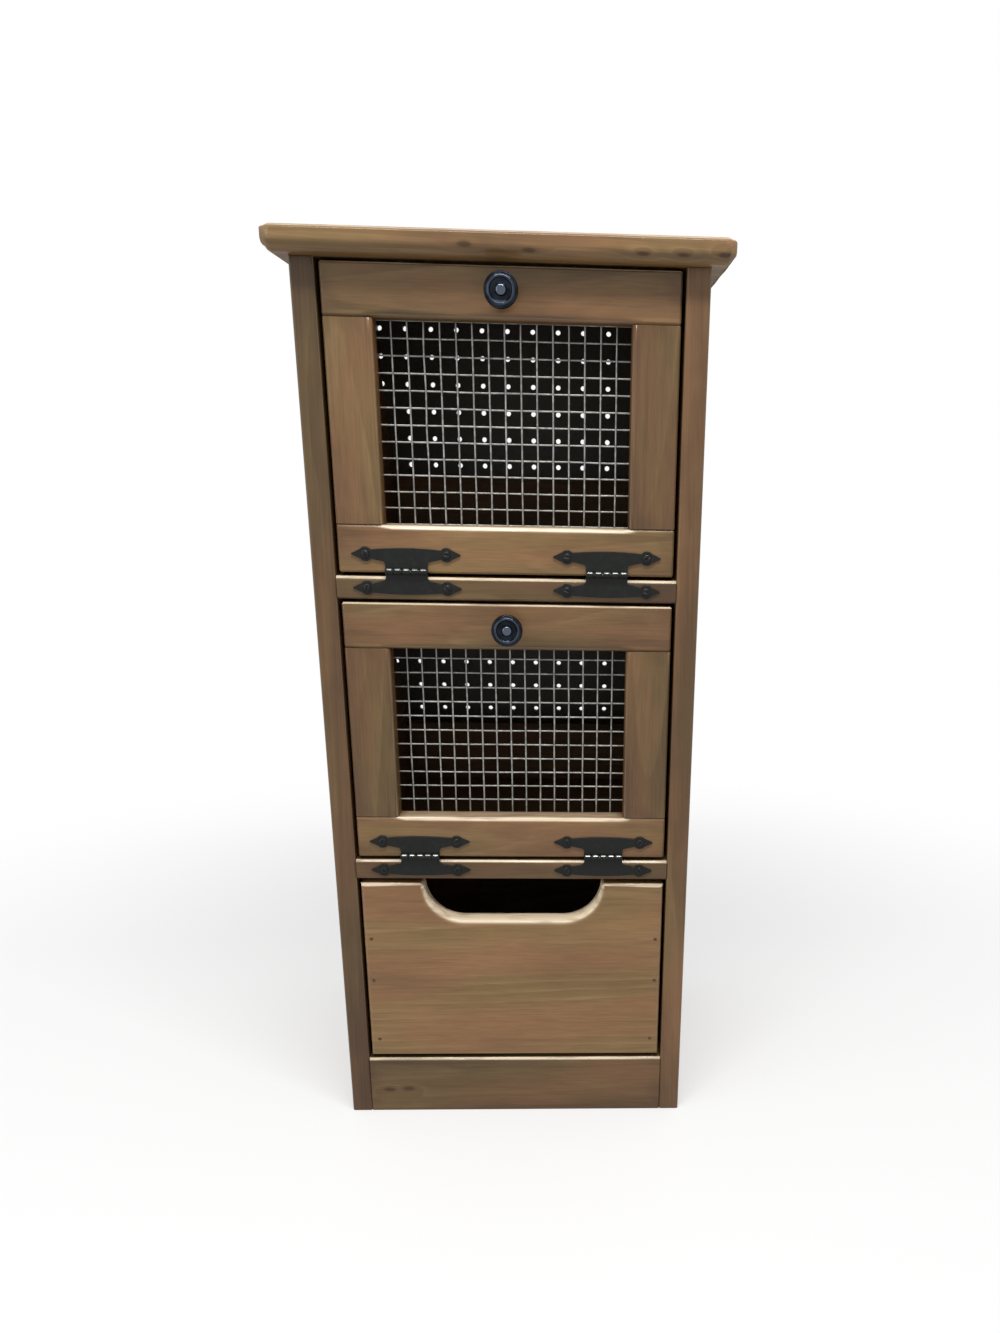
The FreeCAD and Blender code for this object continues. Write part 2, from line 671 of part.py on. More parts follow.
def add_drawer():
    """Front with its scooped grip, two sides, back and bottom panel."""
    front_low = FLOOR_TOP + cell("drawer_foot_gap")
    front_height = LOWER_SHELF - cell("drawer_head_gap") - front_low
    width = HALF_DOOR * 2
    grip, depth = cell("scoop_width") / 2, cell("scoop_depth")
    corners = [
        (-HALF_DOOR, ZERO), (HALF_DOOR, ZERO), (HALF_DOOR, front_height), (grip, front_height),
        (grip - depth, front_height - depth), (depth - grip, front_height - depth),
        (-grip, front_height), (-HALF_DOOR, front_height),
    ]
    body = add_body("drawer_front")
    sketch = add_sketch(body, "drawer_front_outline", "XZ_Plane")
    right_centre, left_centre = (grip - depth, front_height), (depth - grip, front_height)
    draw_outline(sketch, corners, {3: (right_centre, depth), 5: (left_centre, depth)})
    solid = pad(body, sketch, BOARD, backwards=True)
    box = solid.Shape.BoundBox
    grip_edges = []
    for number, edge in enumerate(solid.Shape.Edges, start=1):
        spot = edge.CenterOfMass
        in_grip = abs(spot.x) < grip.value and spot.z > box.ZMax - depth.value - 1e-4
        if in_grip and edge.BoundBox.YLength < 1e-4 and edge.BoundBox.ZMax < box.ZMax + 1e-4:
            grip_edges.append("Edge%d" % number)
    soft = bevel_edges(body, solid, grip_edges, cell("scoop_bevel"), "grip")
    rim = edges_between(soft.Shape, [("front", "left"), ("front", "right"), ("front", "bottom")])
    round_edges(body, soft, rim, cell("edge_round"), "eased")
    place(body, ZERO, FRONT, front_low)

    low = FLOOR_TOP + cell("drawer_running_gap")
    length = cell("case_depth") - BOARD - cell("drawer_rear_gap")
    side_size = (BOARD, length, cell("drawer_side_height"))
    add_board("drawer_left_side", (-HALF_DOOR, DOOR_BACK, low), side_size)
    add_board("drawer_right_side", (HALF_DOOR - BOARD, DOOR_BACK, low), side_size)
    inside = width - BOARD * 2
    panel_low = front_low
    add_board("drawer_bottom", (BOARD - HALF_DOOR, DOOR_BACK, panel_low), (inside, length, cell("drawer_panel")))
    back_low = panel_low + cell("drawer_panel")
    back_height = low + cell("drawer_side_height") - back_low
    add_board("drawer_back", (BOARD - HALF_DOOR, DOOR_BACK + length - BOARD, back_low),
              (inside, BOARD, back_height))


# ---------------------------------------------------------------- check and write

def pieces():
    """Every finished piece: the bodies and the free-standing shapes."""
    return [item for item in doc.Objects
            if item.TypeId == "PartDesign::Body" or item.TypeId == "Part::Feature"]


def check():
    """Stop if any feature failed or any piece has no sound shape."""
    for item in doc.Objects:
        if "Invalid" in item.State or "Error" in item.State:
            raise RuntimeError("%s failed: %s" % (item.Name, item.State))
    for item in pieces():
        if item.Shape.isNull() or not item.Shape.isValid():
            raise RuntimeError("%s has no sound shape" % item.Label)


def write():
    """Write one STEP file for each piece."""
    os.makedirs("parts", exist_ok=True)
    for item in pieces():
        item.Shape.exportStep("parts/%s.step" % item.Label)
    print("%d pieces written" % len(pieces()))


add_case()
add_back_panel()
add_hinges()
add_tilting_bins()
add_drawer()
doc.recompute()
check()
write()
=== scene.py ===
# %% [markdown]
# # A tilt-out vegetable bin cabinet
# The packed CAD model comes in as a fixed frame, and this script dresses it piece by
# piece: stained pine boards with real grain, welded wire nets, a perforated hardboard
# back, black surface hinges and turned knobs.  Every dressed piece takes the place of
# the CAD node it stands for and rides on the same body, so doors still tilt and the
# drawer still slides.

# %% Load the frame
import json
import math
import zlib

import bpy
import numpy as np
from mathutils import Matrix, Vector

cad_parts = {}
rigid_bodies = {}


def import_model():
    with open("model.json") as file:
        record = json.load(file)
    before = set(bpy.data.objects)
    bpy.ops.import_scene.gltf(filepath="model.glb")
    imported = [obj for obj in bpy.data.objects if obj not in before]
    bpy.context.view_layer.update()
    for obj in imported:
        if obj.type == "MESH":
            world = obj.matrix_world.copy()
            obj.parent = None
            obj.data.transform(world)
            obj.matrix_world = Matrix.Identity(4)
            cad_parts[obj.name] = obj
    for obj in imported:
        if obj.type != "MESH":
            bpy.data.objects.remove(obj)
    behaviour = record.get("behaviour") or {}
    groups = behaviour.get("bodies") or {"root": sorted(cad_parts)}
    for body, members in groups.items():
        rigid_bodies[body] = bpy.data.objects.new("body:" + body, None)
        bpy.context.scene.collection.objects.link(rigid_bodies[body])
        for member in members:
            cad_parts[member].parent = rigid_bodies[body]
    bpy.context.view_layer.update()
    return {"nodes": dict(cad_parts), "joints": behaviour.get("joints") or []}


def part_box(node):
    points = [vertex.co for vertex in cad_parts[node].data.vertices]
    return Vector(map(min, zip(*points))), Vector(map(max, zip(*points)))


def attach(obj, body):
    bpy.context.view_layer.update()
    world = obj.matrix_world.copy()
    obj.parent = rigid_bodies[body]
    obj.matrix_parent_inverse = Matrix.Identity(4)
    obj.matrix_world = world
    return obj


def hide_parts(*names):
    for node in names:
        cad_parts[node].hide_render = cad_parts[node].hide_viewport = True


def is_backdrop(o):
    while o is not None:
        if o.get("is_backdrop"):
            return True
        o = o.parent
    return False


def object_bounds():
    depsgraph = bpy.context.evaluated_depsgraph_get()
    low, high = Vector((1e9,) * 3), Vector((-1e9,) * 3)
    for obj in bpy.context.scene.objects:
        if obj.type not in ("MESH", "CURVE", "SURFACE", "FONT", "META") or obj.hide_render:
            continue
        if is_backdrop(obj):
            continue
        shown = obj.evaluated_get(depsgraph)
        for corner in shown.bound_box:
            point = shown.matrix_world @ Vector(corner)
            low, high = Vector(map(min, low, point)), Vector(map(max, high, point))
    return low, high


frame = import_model()

MM = 0.001


def node_box(node):
    """Low and high corner of a CAD node as arrays."""
    low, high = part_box(node)
    return np.array(low), np.array(high)


def node_body(node):
    """The body that a CAD node belongs to."""
    return frame["nodes"][node].parent.name.removeprefix("body:")


def seeded(name):
    """A random generator that depends on nothing but the piece's name."""
    return np.random.default_rng(zlib.crc32(name.encode()))


print("CAD nodes:", len(frame["nodes"]), "on", sorted({node_body(node) for node in frame["nodes"]}))

# %% [markdown]
# ## From arrays to objects
# A mesh is three lists: places, faces, and which faces are shaded smooth.  All shapes
# below are worked out as numpy arrays first and handed over in one call.  Values that
# a material needs later, such as where a board lay in its log, go along as attributes.

# %% Make objects from arrays
def new_object(name, places, faces, smooth=True, attributes=None):
    """An object at the origin from places (n x 3) and faces.

    attributes maps a name to one value or one vector per place.
    """
    mesh = bpy.data.meshes.new(name)
    mesh.from_pydata(np.asarray(places).tolist(), [], [list(face) for face in faces])
    flags = np.full(len(mesh.polygons), smooth) if isinstance(smooth, bool) else smooth
    mesh.polygons.foreach_set("use_smooth", flags)
    for key, values in (attributes or {}).items():
        kind = ("FLOAT_VECTOR", "vector") if values.ndim == 2 else ("FLOAT", "value")
        mesh.attributes.new(key, kind[0], "POINT").data.foreach_set(kind[1], values.ravel())
    mesh.validate()
    piece = bpy.data.objects.new(name, mesh)
    bpy.context.scene.collection.objects.link(piece)
    return piece


def dress(piece, nodes, slot, body=None):
    """Give a piece its finish and its body, and let it stand for CAD nodes."""
    piece.data.materials.append(FINISHES[slot])
    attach(piece, body or node_body(nodes[0]))
    if nodes:
        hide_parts(*nodes)


def merge(shells):
    """Several (places, faces) shells as one."""
    places, faces, count = [], [], 0
    for shell_places, shell_faces in shells:
        places.append(shell_places)
        faces += [[corner + count for corner in face] for face in shell_faces]
        count += len(shell_places)
    return np.concatenate(places), faces


print("two triangles merged have", len(merge([(np.eye(3), [[0, 1, 2]])] * 2)[0]), "places")

# %% [markdown]
# Nothing that is used and hand-made is quite even.  Slow, smooth noise takes care of
# that, and sines that run in random directions are the shortest way to it.

# %% Smooth noise
SLOW_WAVE = 60 * MM


def ripple(places, generator, size, waves=6):
    """Smooth noise from 0 to 1: the mean of sines that run in random directions, about size apart."""
    total = np.zeros(len(places))
    for _ in range(waves):
        direction = generator.normal(size=3)
        direction *= 2 * np.pi / size / np.linalg.norm(direction)
        total += np.sin(places @ direction + generator.uniform(0, 2 * np.pi))
    return 0.5 + total / (2 * waves)


print("one wave of wear is", SLOW_WAVE / MM, "mm long")

# %% [markdown]
# ## The boards
# A planed board is a box whose edges were eased with a plane or paper.  The form is
# one formula: clamp each point of the box's skin to a smaller box inside, and put it
# back one radius away from there.  Flats stay flat, edges become quarter rounds and
# corners become parts of a ball.  A radius of its own for each of the six sides gives
# the soft front edges and the tight joints.

# %% Lines of a board's grid
# Radii of a board's edges: eased by hand, routed round the windows, and only just
# broken where two boards meet.
EASED = 2.0 * MM
SOFT = 3.6 * MM
ROUTED = 5.5 * MM
TIGHT = 0.35 * MM
GRID_STEP = 14 * MM
RAYS = (45, 30, 15, 0)


def grid_lines(low, high, round_low, round_high, step):
    """Places of the grid's lines along one axis.

    In a round the lines stand where rays at 45, 30, 15 and 0 degrees meet the side;
    between the rounds they are about one step apart.
    """
    lean = np.tan(np.radians(RAYS))
    start = low + round_low * (1 - lean)
    end = high - round_high * (1 - lean[::-1])
    count = max(2, round((end[0] - start[-1]) / step) + 1)
    return np.concatenate([start, np.linspace(start[-1], end[0], count)[1:-1], end])


print("radii in mm:", [round(radius / MM, 2) for radius in (EASED, SOFT, ROUTED, TIGHT)])

# %% [markdown]
# A grid of places becomes a surface when each four neighbours are joined by a face.
# Boards need this for their six flat sides, and wires, pins and rims need it closed
# into a hoop.

# %% Grids of faces
def grid_quads(rows, columns, closed=False, flip=False):
    """Quads of a grid of places that are counted row by row.

    closed joins each row's end to its start, and flip turns the quads over.
    """
    index = np.arange(rows * columns).reshape(rows, columns)
    if closed:
        index = np.column_stack([index, index[:, 0]])
    quads = np.stack([index[:-1, :-1], index[:-1, 1:], index[1:, 1:], index[1:, :-1]], -1).reshape(-1, 4)
    return quads[:, [0, 3, 2, 1]] if flip else quads


def box_skin(lines):
    """Places and quads of the six sides of a box, from its grid lines along X, Y and Z."""
    places, quads, count = [], [], 0
    for axis in range(3):
        first, second = (axis + 1) % 3, (axis + 2) % 3
        for end in (0, -1):
            a, b = np.meshgrid(lines[first], lines[second], indexing="ij")
            side = np.empty(a.shape + (3,))
            side[..., axis] = lines[axis][end]
            side[..., first] = a
            side[..., second] = b
            quad = count + grid_quads(*a.shape, flip=True)
            places.append(side.reshape(-1, 3))
            quads.append(quad if end else quad[:, ::-1])
            count += a.size
    places, same = np.unique(np.concatenate(places).round(8), axis=0, return_inverse=True)
    return places, same.reshape(-1)[np.concatenate(quads)]


print("a box with three lines each way has", len(box_skin([np.arange(3)] * 3)[1]), "faces")

# %% [markdown]
# A joint stays tight and a routed window edge is round only as far as the router went, so a rail's long round
# stops where the stile begins.  The same formula also tells how far a place lies into a round and how far it
# faces up, and from these the finish learns where hands have rubbed it and where edges that face up take a
# painted highlight.

# %% Rounded boards
ROUND_WEAR = 0.3
# How far the flat top of a window's sill is painted pale, partly as rubbing and partly as painted light on
# its upward face, where 1 is a worn arris.
SILL_WEAR_AND_LIGHT = 0.2
TINY = 1e-6


def rounded_box(low, high, radius_low, radius_high, generator, window=None):
    """A box with rounds: places, quads, and three values per place.

    inner = the point clamped to the box less its rounds; out = (point - inner) / radius;
    the rounded place is inner + radius * out / |out|.  ROUND_WEAR shortens the radius
    where a slow ripple says so.  window = (start, end) keeps the bottom's and top's big
    rounds between two values of X, as a router leaves them, and TIGHT beyond.

    The values: edge is 1 in the middle of a round and 0 on a flat, less on a tight
    joint and SILL_WEAR_AND_LIGHT on a window's sill; up is 1 where a place faces up; border is 1
    beside an edge.
    """
    lines = [grid_lines(*values, GRID_STEP) for values in zip(low, high, radius_low, radius_high)]
    places, quads = box_skin(lines)
    low_rounds = np.repeat([radius_low], len(places), axis=0)
    high_rounds = np.repeat([radius_high], len(places), axis=0)
    if window:
        outside = (places[:, 0] < window[0]) | (places[:, 0] > window[1])
        for rounds in (low_rounds, high_rounds):
            rounds[outside & (rounds[:, 2] > EASED), 2] = TIGHT
    inner = np.clip(places, low + low_rounds, high - high_rounds)
    radius = np.where(places < inner, low_rounds, high_rounds)
    out = (places - inner) / radius
    length = np.linalg.norm(out, axis=1, keepdims=True)
    edge = np.clip((1 - np.abs(out).max(axis=1) / length[:, 0]) / (1 - math.sqrt(0.5)), 0, 1)
    bent = np.where(np.abs(out) > TINY, radius, EASED).min(axis=1)
    edge *= np.clip(bent / EASED, 0, 1)
    up = np.clip(1.5 * out[:, 2] / length[:, 0], 0, 1)
    # The sill's upward flat is painted pale: partly rubbing, partly painted light falling from above.
    if window:
        edge = np.maximum(edge, SILL_WEAR_AND_LIGHT * up * ~outside)
    flat_ends = np.array([axis_lines[[3, -4]] for axis_lines in lines])
    near = np.abs(places[:, :, None] - flat_ends).min(axis=(1, 2))
    border = (near < TINY) | (edge > 0)
    rubbed = 1 - ROUND_WEAR * edge * ripple(places, generator, SLOW_WAVE)
    return inner + radius * out / length * rubbed[:, None], quads, edge, up, border.astype(float)


print("rounds shrink by at most", ROUND_WEAR, "of their radius where they are rubbed")

# %% [markdown]
# Wood has its grain because each board was once part of a trunk.  The finish therefore
# gets, for each place, where it lay in the log.  Every board is sawn from a log of its
# own, and boards of one cabinet take the stain a little differently.

# %% Boards in their logs
# How much lighter or darker than the rest each board took its stain.
TONES = {"upper_top_rail": -0.35, "lower_top_rail": -0.5, "upper_bottom_rail": 0.1,
         "lower_bottom_rail": -0.05, "upper_left_stile": -0.4, "upper_right_stile": -0.95,
         "lower_left_stile": -0.65, "lower_right_stile": -0.5, "kick_board": -0.7,
         "left_side": -0.95, "right_side": -0.4, "drawer_front": 0.2, "top_board": 0.15,
         "upper_shelf": -1.0, "lower_shelf": -0.8, "drawer_front_nails": -1.5}
# The top board's second log had the calmer figure.
LOGS = {"top_board": "_log_d"}
# The top board's rim is painted less pale than the doors' and the drawer's edges: less rubbing and a weaker
# painted highlight.
RIM_WEAR_AND_HIGHLIGHT = {"top_board": 0.3}
# How much of the pale rubbing and painted highlight on an edge that faces up reaches one that faces
# elsewhere; edges that face up take most, as the light falls from above.
SIDE_WEAR_AND_HIGHLIGHT = 0.12


def log_place(name, places, along):
    """Where each place lay in its log: X along the trunk, and Y, Z across it from the pith.

    The widest of the other two axes becomes the board's width.  The pith lies 35 to 80 mm
    behind the face and runs at a small slant to it, so the rings come out as long arches.
    """
    generator = seeded(name + LOGS.get(name, "_log"))
    span = np.ptp(places, axis=0)
    others = sorted((axis for axis in range(3) if axis != along), key=lambda axis: -span[axis])
    width, thick = others
    middle = (places.min(axis=0) + places.max(axis=0)) / 2
    local = places - middle
    slant = generator.uniform(0.02, 0.05) * generator.choice((-1, 1))
    pith_side = generator.uniform(-0.35, 0.35) * span[width]
    pith_deep = generator.uniform(35, 80) * MM
    log = np.empty_like(places)
    log[:, 0] = local[:, along] + generator.uniform(1, 40)
    log[:, 1] = local[:, width] + pith_side
    log[:, 2] = local[:, thick] + pith_deep + slant * local[:, along]
    return log


def wood_attributes(name, places, along, edge, up, border=0.0):
    """What the pine finish needs to know about each place: edges that face up are painted palest, partly as
    rubbing by hands and partly as a painted highlight from the light above.
    """
    tone = TONES.get(name, seeded(name).uniform(-0.3, 0.3))
    # Rubbing and painted highlight together: most on edges that face up.
    rubbed = edge * (SIDE_WEAR_AND_HIGHLIGHT + (1 - SIDE_WEAR_AND_HIGHLIGHT) * up) * RIM_WEAR_AND_HIGHLIGHT.get(name, 1.0)
    return {"grain": log_place(name, places, along), "edge": rubbed,
            "border": np.broadcast_to(border, len(places)), "tone": np.full(len(places), tone)}


print("boards with a tone of their own:", len(TONES))

# %% [markdown]
# One call now dresses any straight board: it reads the CAD node's box, rounds it, and
# hands the finish what it needs.  Flats are shaded flat and rounds smooth.

# %% Dress a board
def add_board(node, along, slot, rounds, window=None):
    """Dress one straight board; rounds gives the radius of its soft sides, such as {"front": EASED}."""
    low, high = node_box(node)
    ends = ("left", "front", "bottom"), ("right", "rear", "top")
    radii = [np.array([rounds.get(side, TIGHT) for side in sides]) for sides in ends]
    places, quads, edge, up, border = rounded_box(low, high, *radii, seeded(node), window)
    smooth = edge[quads].max(axis=1) > TINY
    attributes = wood_attributes(node, places, along, edge, up, border)
    dress(new_object(node + "_wood", places, quads, smooth, attributes), [node], slot)
    return len(quads)


print("an eased edge is", EASED / MM, "mm round")

# %% [markdown]
# ## Finishes
# Every finish is a small node tree.  The helper below keeps a recipe readable: each
# call makes one node and returns the socket that comes out of it.  Wood reads its place
# in the log; metals read plain object coordinates.

# %% Node recipes
class Recipe:
    """A material's node tree, built call by call."""

    def __init__(self, name):
        """A new material with the plain shader that Blender starts with."""
        self.material = bpy.data.materials.new(name)
        self.material.use_nodes = True
        self.tree = self.material.node_tree
        self.shader = self.tree.nodes["Principled BSDF"]

    def node(self, kind, inputs, out=0, **settings):
        """Add a node; an input is a number, a tuple or another node's output."""
        item = self.tree.nodes.new("ShaderNode" + kind)
        for key, value in settings.items():
            setattr(item, key, value)
        for key, value in inputs.items():
            if isinstance(value, bpy.types.NodeSocket):
                self.tree.links.new(value, item.inputs[key])
            else:
                item.inputs[key].default_value = value
        return item.outputs[out]

    def attribute(self, name, out="Fac"):
        """What the mesh says about a place, as a number or a vector."""
        return self.node("Attribute", {}, out, attribute_name=name)

    def place(self):
        """Where a place lies on the object."""
        return self.node("TexCoord", {}, "Object")

    def scale(self, vector, factors):
        """A vector with each of its parts times a factor; big factors make fine patterns."""
        return self.node("VectorMath", {0: vector, 1: factors}, operation="MULTIPLY")

    def length(self, vector):
        """How far a vector reaches."""
        return self.node("VectorMath", {0: vector}, "Value", operation="LENGTH")

    def math(self, operation, a, b=0.0):
        """One step of arithmetic."""
        return self.node("Math", {0: a, 1: b}, operation=operation)

    def noise(self, vector, scale, detail=2.0, roughness=0.5):
        """Clouds about 1 / scale apart, with finer ones in them."""
        inputs = {"Vector": vector, "Scale": scale, "Detail": detail, "Roughness": roughness}
        return self.node("TexNoise", inputs)

    def soft_step(self, value, low, high, to_low=0.0, to_high=1.0):
        """From to_low to to_high as value goes from low to high, smooth at both ends."""
        return self.node("MapRange", {"Value": value, "From Min": low, "From Max": high,
                                      "To Min": to_low, "To Max": to_high}, interpolation_type="SMOOTHSTEP")

    def mix(self, share, a, b, blend="MIX"):
        """Colour a where share is 0 and b where it is 1."""
        return self.node("Mix", {0: share, 6: a, 7: b}, 2, data_type="RGBA", blend_type=blend)

    def ramp(self, value, stops):
        """A grey value for each position: stops is [(position, value), ...]."""
        item = self.node("ValToRGB", {"Fac": value}, 0).node
        ramp = item.color_ramp
        while len(ramp.elements) < len(stops):
            ramp.elements.new(0.5)
        for element, (position, grey) in zip(ramp.elements, stops):
            element.position = position
            element.color = (grey, grey, grey, 1)
        return item.outputs[0]

    def bump(self, height, distance, strength=1.0, normal=None):
        """A surface that leans as if it were raised by height times distance."""
        inputs = {"Height": height, "Distance": distance, "Strength": strength}
        if normal is not None:
            inputs["Normal"] = normal
        return self.node("Bump", inputs)

    def finish(self, **sockets):
        """Set the shader's sockets: constants directly, the rest by link."""
        for key, value in sockets.items():
            socket = self.shader.inputs[key.replace("_", " ")]
            if isinstance(value, bpy.types.NodeSocket):
                self.tree.links.new(value, socket)
            else:
                socket.default_value = value
        return self.material


print("a recipe's calls:", ", ".join(name for name in vars(Recipe) if not name.startswith("_")))

# %% [markdown]
# A paint chart gives colours as the eye takes them, but a shader wants linear light.
# And a rubbed, oiled or painted surface doesn't mirror at its rims as glass would, so
# its gloss is taken back where one looks along it.

# %% Colours and gloss
def tint(red, green, blue):
    """A colour as a paint chart gives it, 0 to 255, as linear light."""
    parts = [value / 255 for value in (red, green, blue)]
    linear = [part / 12.92 if part <= 0.04045 else ((part + 0.055) / 1.055) ** 2.4 for part in parts]
    return (*linear, 1)


def face_on(r, low, high):
    """From low at a grazing look to high face on: rubbed surfaces mirror less at their rims than glass."""
    turned_away = r.node("LayerWeight", {"Blend": 0.5}, "Facing")
    return r.soft_step(turned_away, 0.95, 0.45, low, high)


print("half grey on a chart is", round(tint(128, 128, 128)[0], 3), "in linear light")

# %% [markdown]
# ### Patterns in the wood
# All that one sees in a board is drawn out along the trunk, because its fibres are.  So
# each pattern is noise in the log's place, squeezed much more across the trunk than
# along it.

# %% Patterns in the wood
# Times a pattern repeats in a metre along the trunk and across it, the number of finer
# patterns in it, and how strong those are.
PATTERNS = {
    "sway": (1.6, 11.0, 2.0, 0.5),
    "jitter": (9.0, 90.0, 2.0, 0.5),
    "blotch": (5.0, 16.0, 4.0, 0.6),
    "patch": (6.0, 30.0, 3.0, 0.45),
    "streak": (5.0, 200.0, 3.0, 0.6),
    "fibre": (14.0, 900.0, 3.0, 0.6),
    "pores": (30.0, 2600.0, 2.0, 0.5),
    "touch": (25.0, 160.0, 3.0, 0.5),
    "planed": (7.0, 16.0, 1.0, 0.5),
}


def pattern(r, log, name):
    """Noise from 0 to 1 in the log's place, drawn out along the trunk."""
    along, across, detail, strength = PATTERNS[name]
    return r.noise(r.scale(log, (along, across, across)), 1.0, detail, strength)


print("patterns:", ", ".join(PATTERNS))

# %% [markdown]
# ### Knots
# Knots are where branches grew.  A few show on the front edge of the top board and on
# the kick board, and their places are given; others lie at random in every log, at the
# middles of some cells of a Voronoi pattern.

# %% Knots
# Knots that show: places on the front faces of two boards that run along X.
KNOTS = {"top_board": [(-0.0264, -0.1525, 0.751), (0.0213, -0.152, 0.748), (0.1064, -0.152, 0.7478),
                       (0.1367, -0.152, 0.7477), (0.168, -0.151, 0.749)],
         "kick_board": [(-0.1231, -0.135, 0.0235), (-0.1049, -0.135, 0.0243)]}
# One over a knot's reach in metres along the trunk and across it, and the same for the
# cells that random knots stand in.
KNOT_STRETCH = (17.0, 40.0, 48.0)
KNOT_CELLS = (5.0, 17.0, 9.0)
CLEAR_CELLS = 0.72


def knots_in_logs():
    """Where those knots lay in their logs; a board's corners go along to give its middle."""
    found = []
    for name, spots in KNOTS.items():
        rows = np.concatenate([node_box(name), spots])
        found += log_place(name, rows, 0)[2:].tolist()
    return found


def knot_distance(r, log):
    """How far the nearest knot is, where 1 is too far to notice.

    The least of |(log - knot) * KNOT_STRETCH| over the knots that show and of the
    distance to a Voronoi cell's middle, to which the cells without a knot add 1.
    """
    cells = {"Vector": r.scale(log, KNOT_CELLS), "Scale": 1.0}
    chance = r.node("SeparateColor", {0: r.node("TexVoronoi", cells, "Color")}, 0)
    nearest = r.math("ADD", r.node("TexVoronoi", cells, "Distance"), r.math("LESS_THAN", chance, CLEAR_CELLS))
    for knot in knots_in_logs():
        apart = r.node("VectorMath", {0: log, 1: knot}, operation="SUBTRACT")
        nearest = r.math("MINIMUM", nearest, r.length(r.scale(apart, KNOT_STRETCH)))
    return nearest


print("knots that show:", {name: len(spots) for name, spots in KNOTS.items()})

# %% [markdown]
# ### Rings
# Pine grows in rings: pale, soft spring wood that ends in a thin hard summer line.  The
# distance from the pith, bent by slow noise, gives the rings, and knots push them
# apart.  A board cuts them at a slant, which is what draws the long arches.

# %% Rings
RING_WIDTH = 7.5 * MM
RING_SWAY = 22.0 * MM
RING_JITTER = 1.6 * MM
KNOT_SWELL = 9.0 * MM
SWELL_REACH = 0.45
# How much a place belongs to the hard line, on the way through one ring from line to line.
RING_STOPS = [(0.0, 0.12), (0.5, 0.2), (0.8, 0.75), (0.93, 1.0), (1.0, 0.12)]


def summer_lines(r, log, knots):
    """1 on a ring's hard line and near 0 on its soft part.

    Bent distance = |across the log| + RING_SWAY * slow noise + KNOT_SWELL near a knot
    + RING_JITTER * fine noise; the part of it after whole rings goes up RING_STOPS.
    """
    swell = r.soft_step(knots, SWELL_REACH, 0.0)
    bent = r.length(r.scale(log, (0.0, 1.0, 1.0)))
    for part, share in ((pattern(r, log, "sway"), RING_SWAY), (swell, KNOT_SWELL),
                        (pattern(r, log, "jitter"), RING_JITTER)):
        bent = r.math("ADD", bent, r.math("MULTIPLY", part, share))
    return r.ramp(r.math("FRACT", r.math("MULTIPLY", bent, 1 / RING_WIDTH)), RING_STOPS)


print("rings are", RING_WIDTH / MM, "mm wide")

# %% [markdown]
# ### Stain
# Stain sinks into the soft part of each ring, so the lines stay a little lighter.  It
# takes unevenly: in blotches, in dark streaks along the fibre, and deeper beside every
# edge and joint, where it ran and wasn't wiped off.

# %% Stain
TONE_SHARE = 0.42


def stain_shade(r, log, fibre):
    """A factor for the wood's colour.

    The product of (0.45 + 1.1 * blotches), the fibres' and the streaks' light and dark,
    one less what soaked in beside edges, and one plus TONE_SHARE * the board's tone.
    """
    blotch = pattern(r, log, "blotch")
    streak = pattern(r, log, "streak")
    soaked = r.math("MULTIPLY", r.attribute("border"), r.soft_step(blotch, 0.35, 0.65, 0.3, 0.05))
    shade = r.math("ADD", r.math("MULTIPLY", blotch, 1.1), 0.45)
    for factor in (r.soft_step(fibre, 0.25, 0.75, 0.88, 1.1), r.soft_step(streak, 0.3, 0.5, 0.87, 1.02),
                   r.math("SUBTRACT", 1.0, soaked),
                   r.math("ADD", r.math("MULTIPLY", r.attribute("tone"), TONE_SHARE), 1.0)):
        shade = r.math("MULTIPLY", shade, factor)
    return r.node("CombineColor", {0: shade, 1: shade, 2: shade})


print("the palest and the darkest board:", max(TONES, key=TONES.get), min(TONES, key=TONES.get))

# %% [markdown]
# ### Pine
# The finish puts these together.  Fine fibres and pores run along everything and raise the surface a little,
# a plane's passes left slow waves, hands rubbed the edges pale, the edges that face up are painted paler
# still as a painted highlight, and a satin varnish lies over it all.

# %% Pine
# How much of their colour the summer lines, the red patches, a knot's core and its ring show.
LINE_SHARE = 0.7
PATCH_SHARE = 0.85
CORE_SHARE = 0.85
HALO_SHARE = 0.25
# How deep fibres and pores are, and how high the waves that the plane left.
FIBRE_DEPTH = 0.09 * MM
PLANED_WAVE = 1.2 * MM


def pine_colour(r, log, knots, line, fibre, tints, wear):
    """Summer lines and red patches on spring wood, all under the stain; then knots, then rubbed edges, whose
    pale tint is also a painted highlight where they face up.
    """
    colour = r.mix(r.math("MULTIPLY", line, LINE_SHARE), tints["spring"], tints["summer"])
    patch = r.soft_step(pattern(r, log, "patch"), 0.38, 0.62, 0.0, PATCH_SHARE)
    colour = r.mix(patch, colour, tints["red"])
    colour = r.mix(1.0, colour, stain_shade(r, log, fibre), "MULTIPLY")
    colour = r.mix(r.soft_step(knots, 0.22, 0.06, 0.0, HALO_SHARE), colour, tints["knot"])
    colour = r.mix(r.soft_step(knots, 0.13, 0.05, 0.0, CORE_SHARE), colour, tints["knot"])
    # Pale edges: partly rubbed wood, partly a painted highlight where light from above catches edges that
    # face up.
    touched = r.soft_step(pattern(r, log, "touch"), 0.3, 0.55, 0.5 * wear, wear)
    rubbed = r.math("MULTIPLY", r.soft_step(r.attribute("edge"), 0.02, 0.45), touched)
    return r.mix(rubbed, colour, tints["worn"])


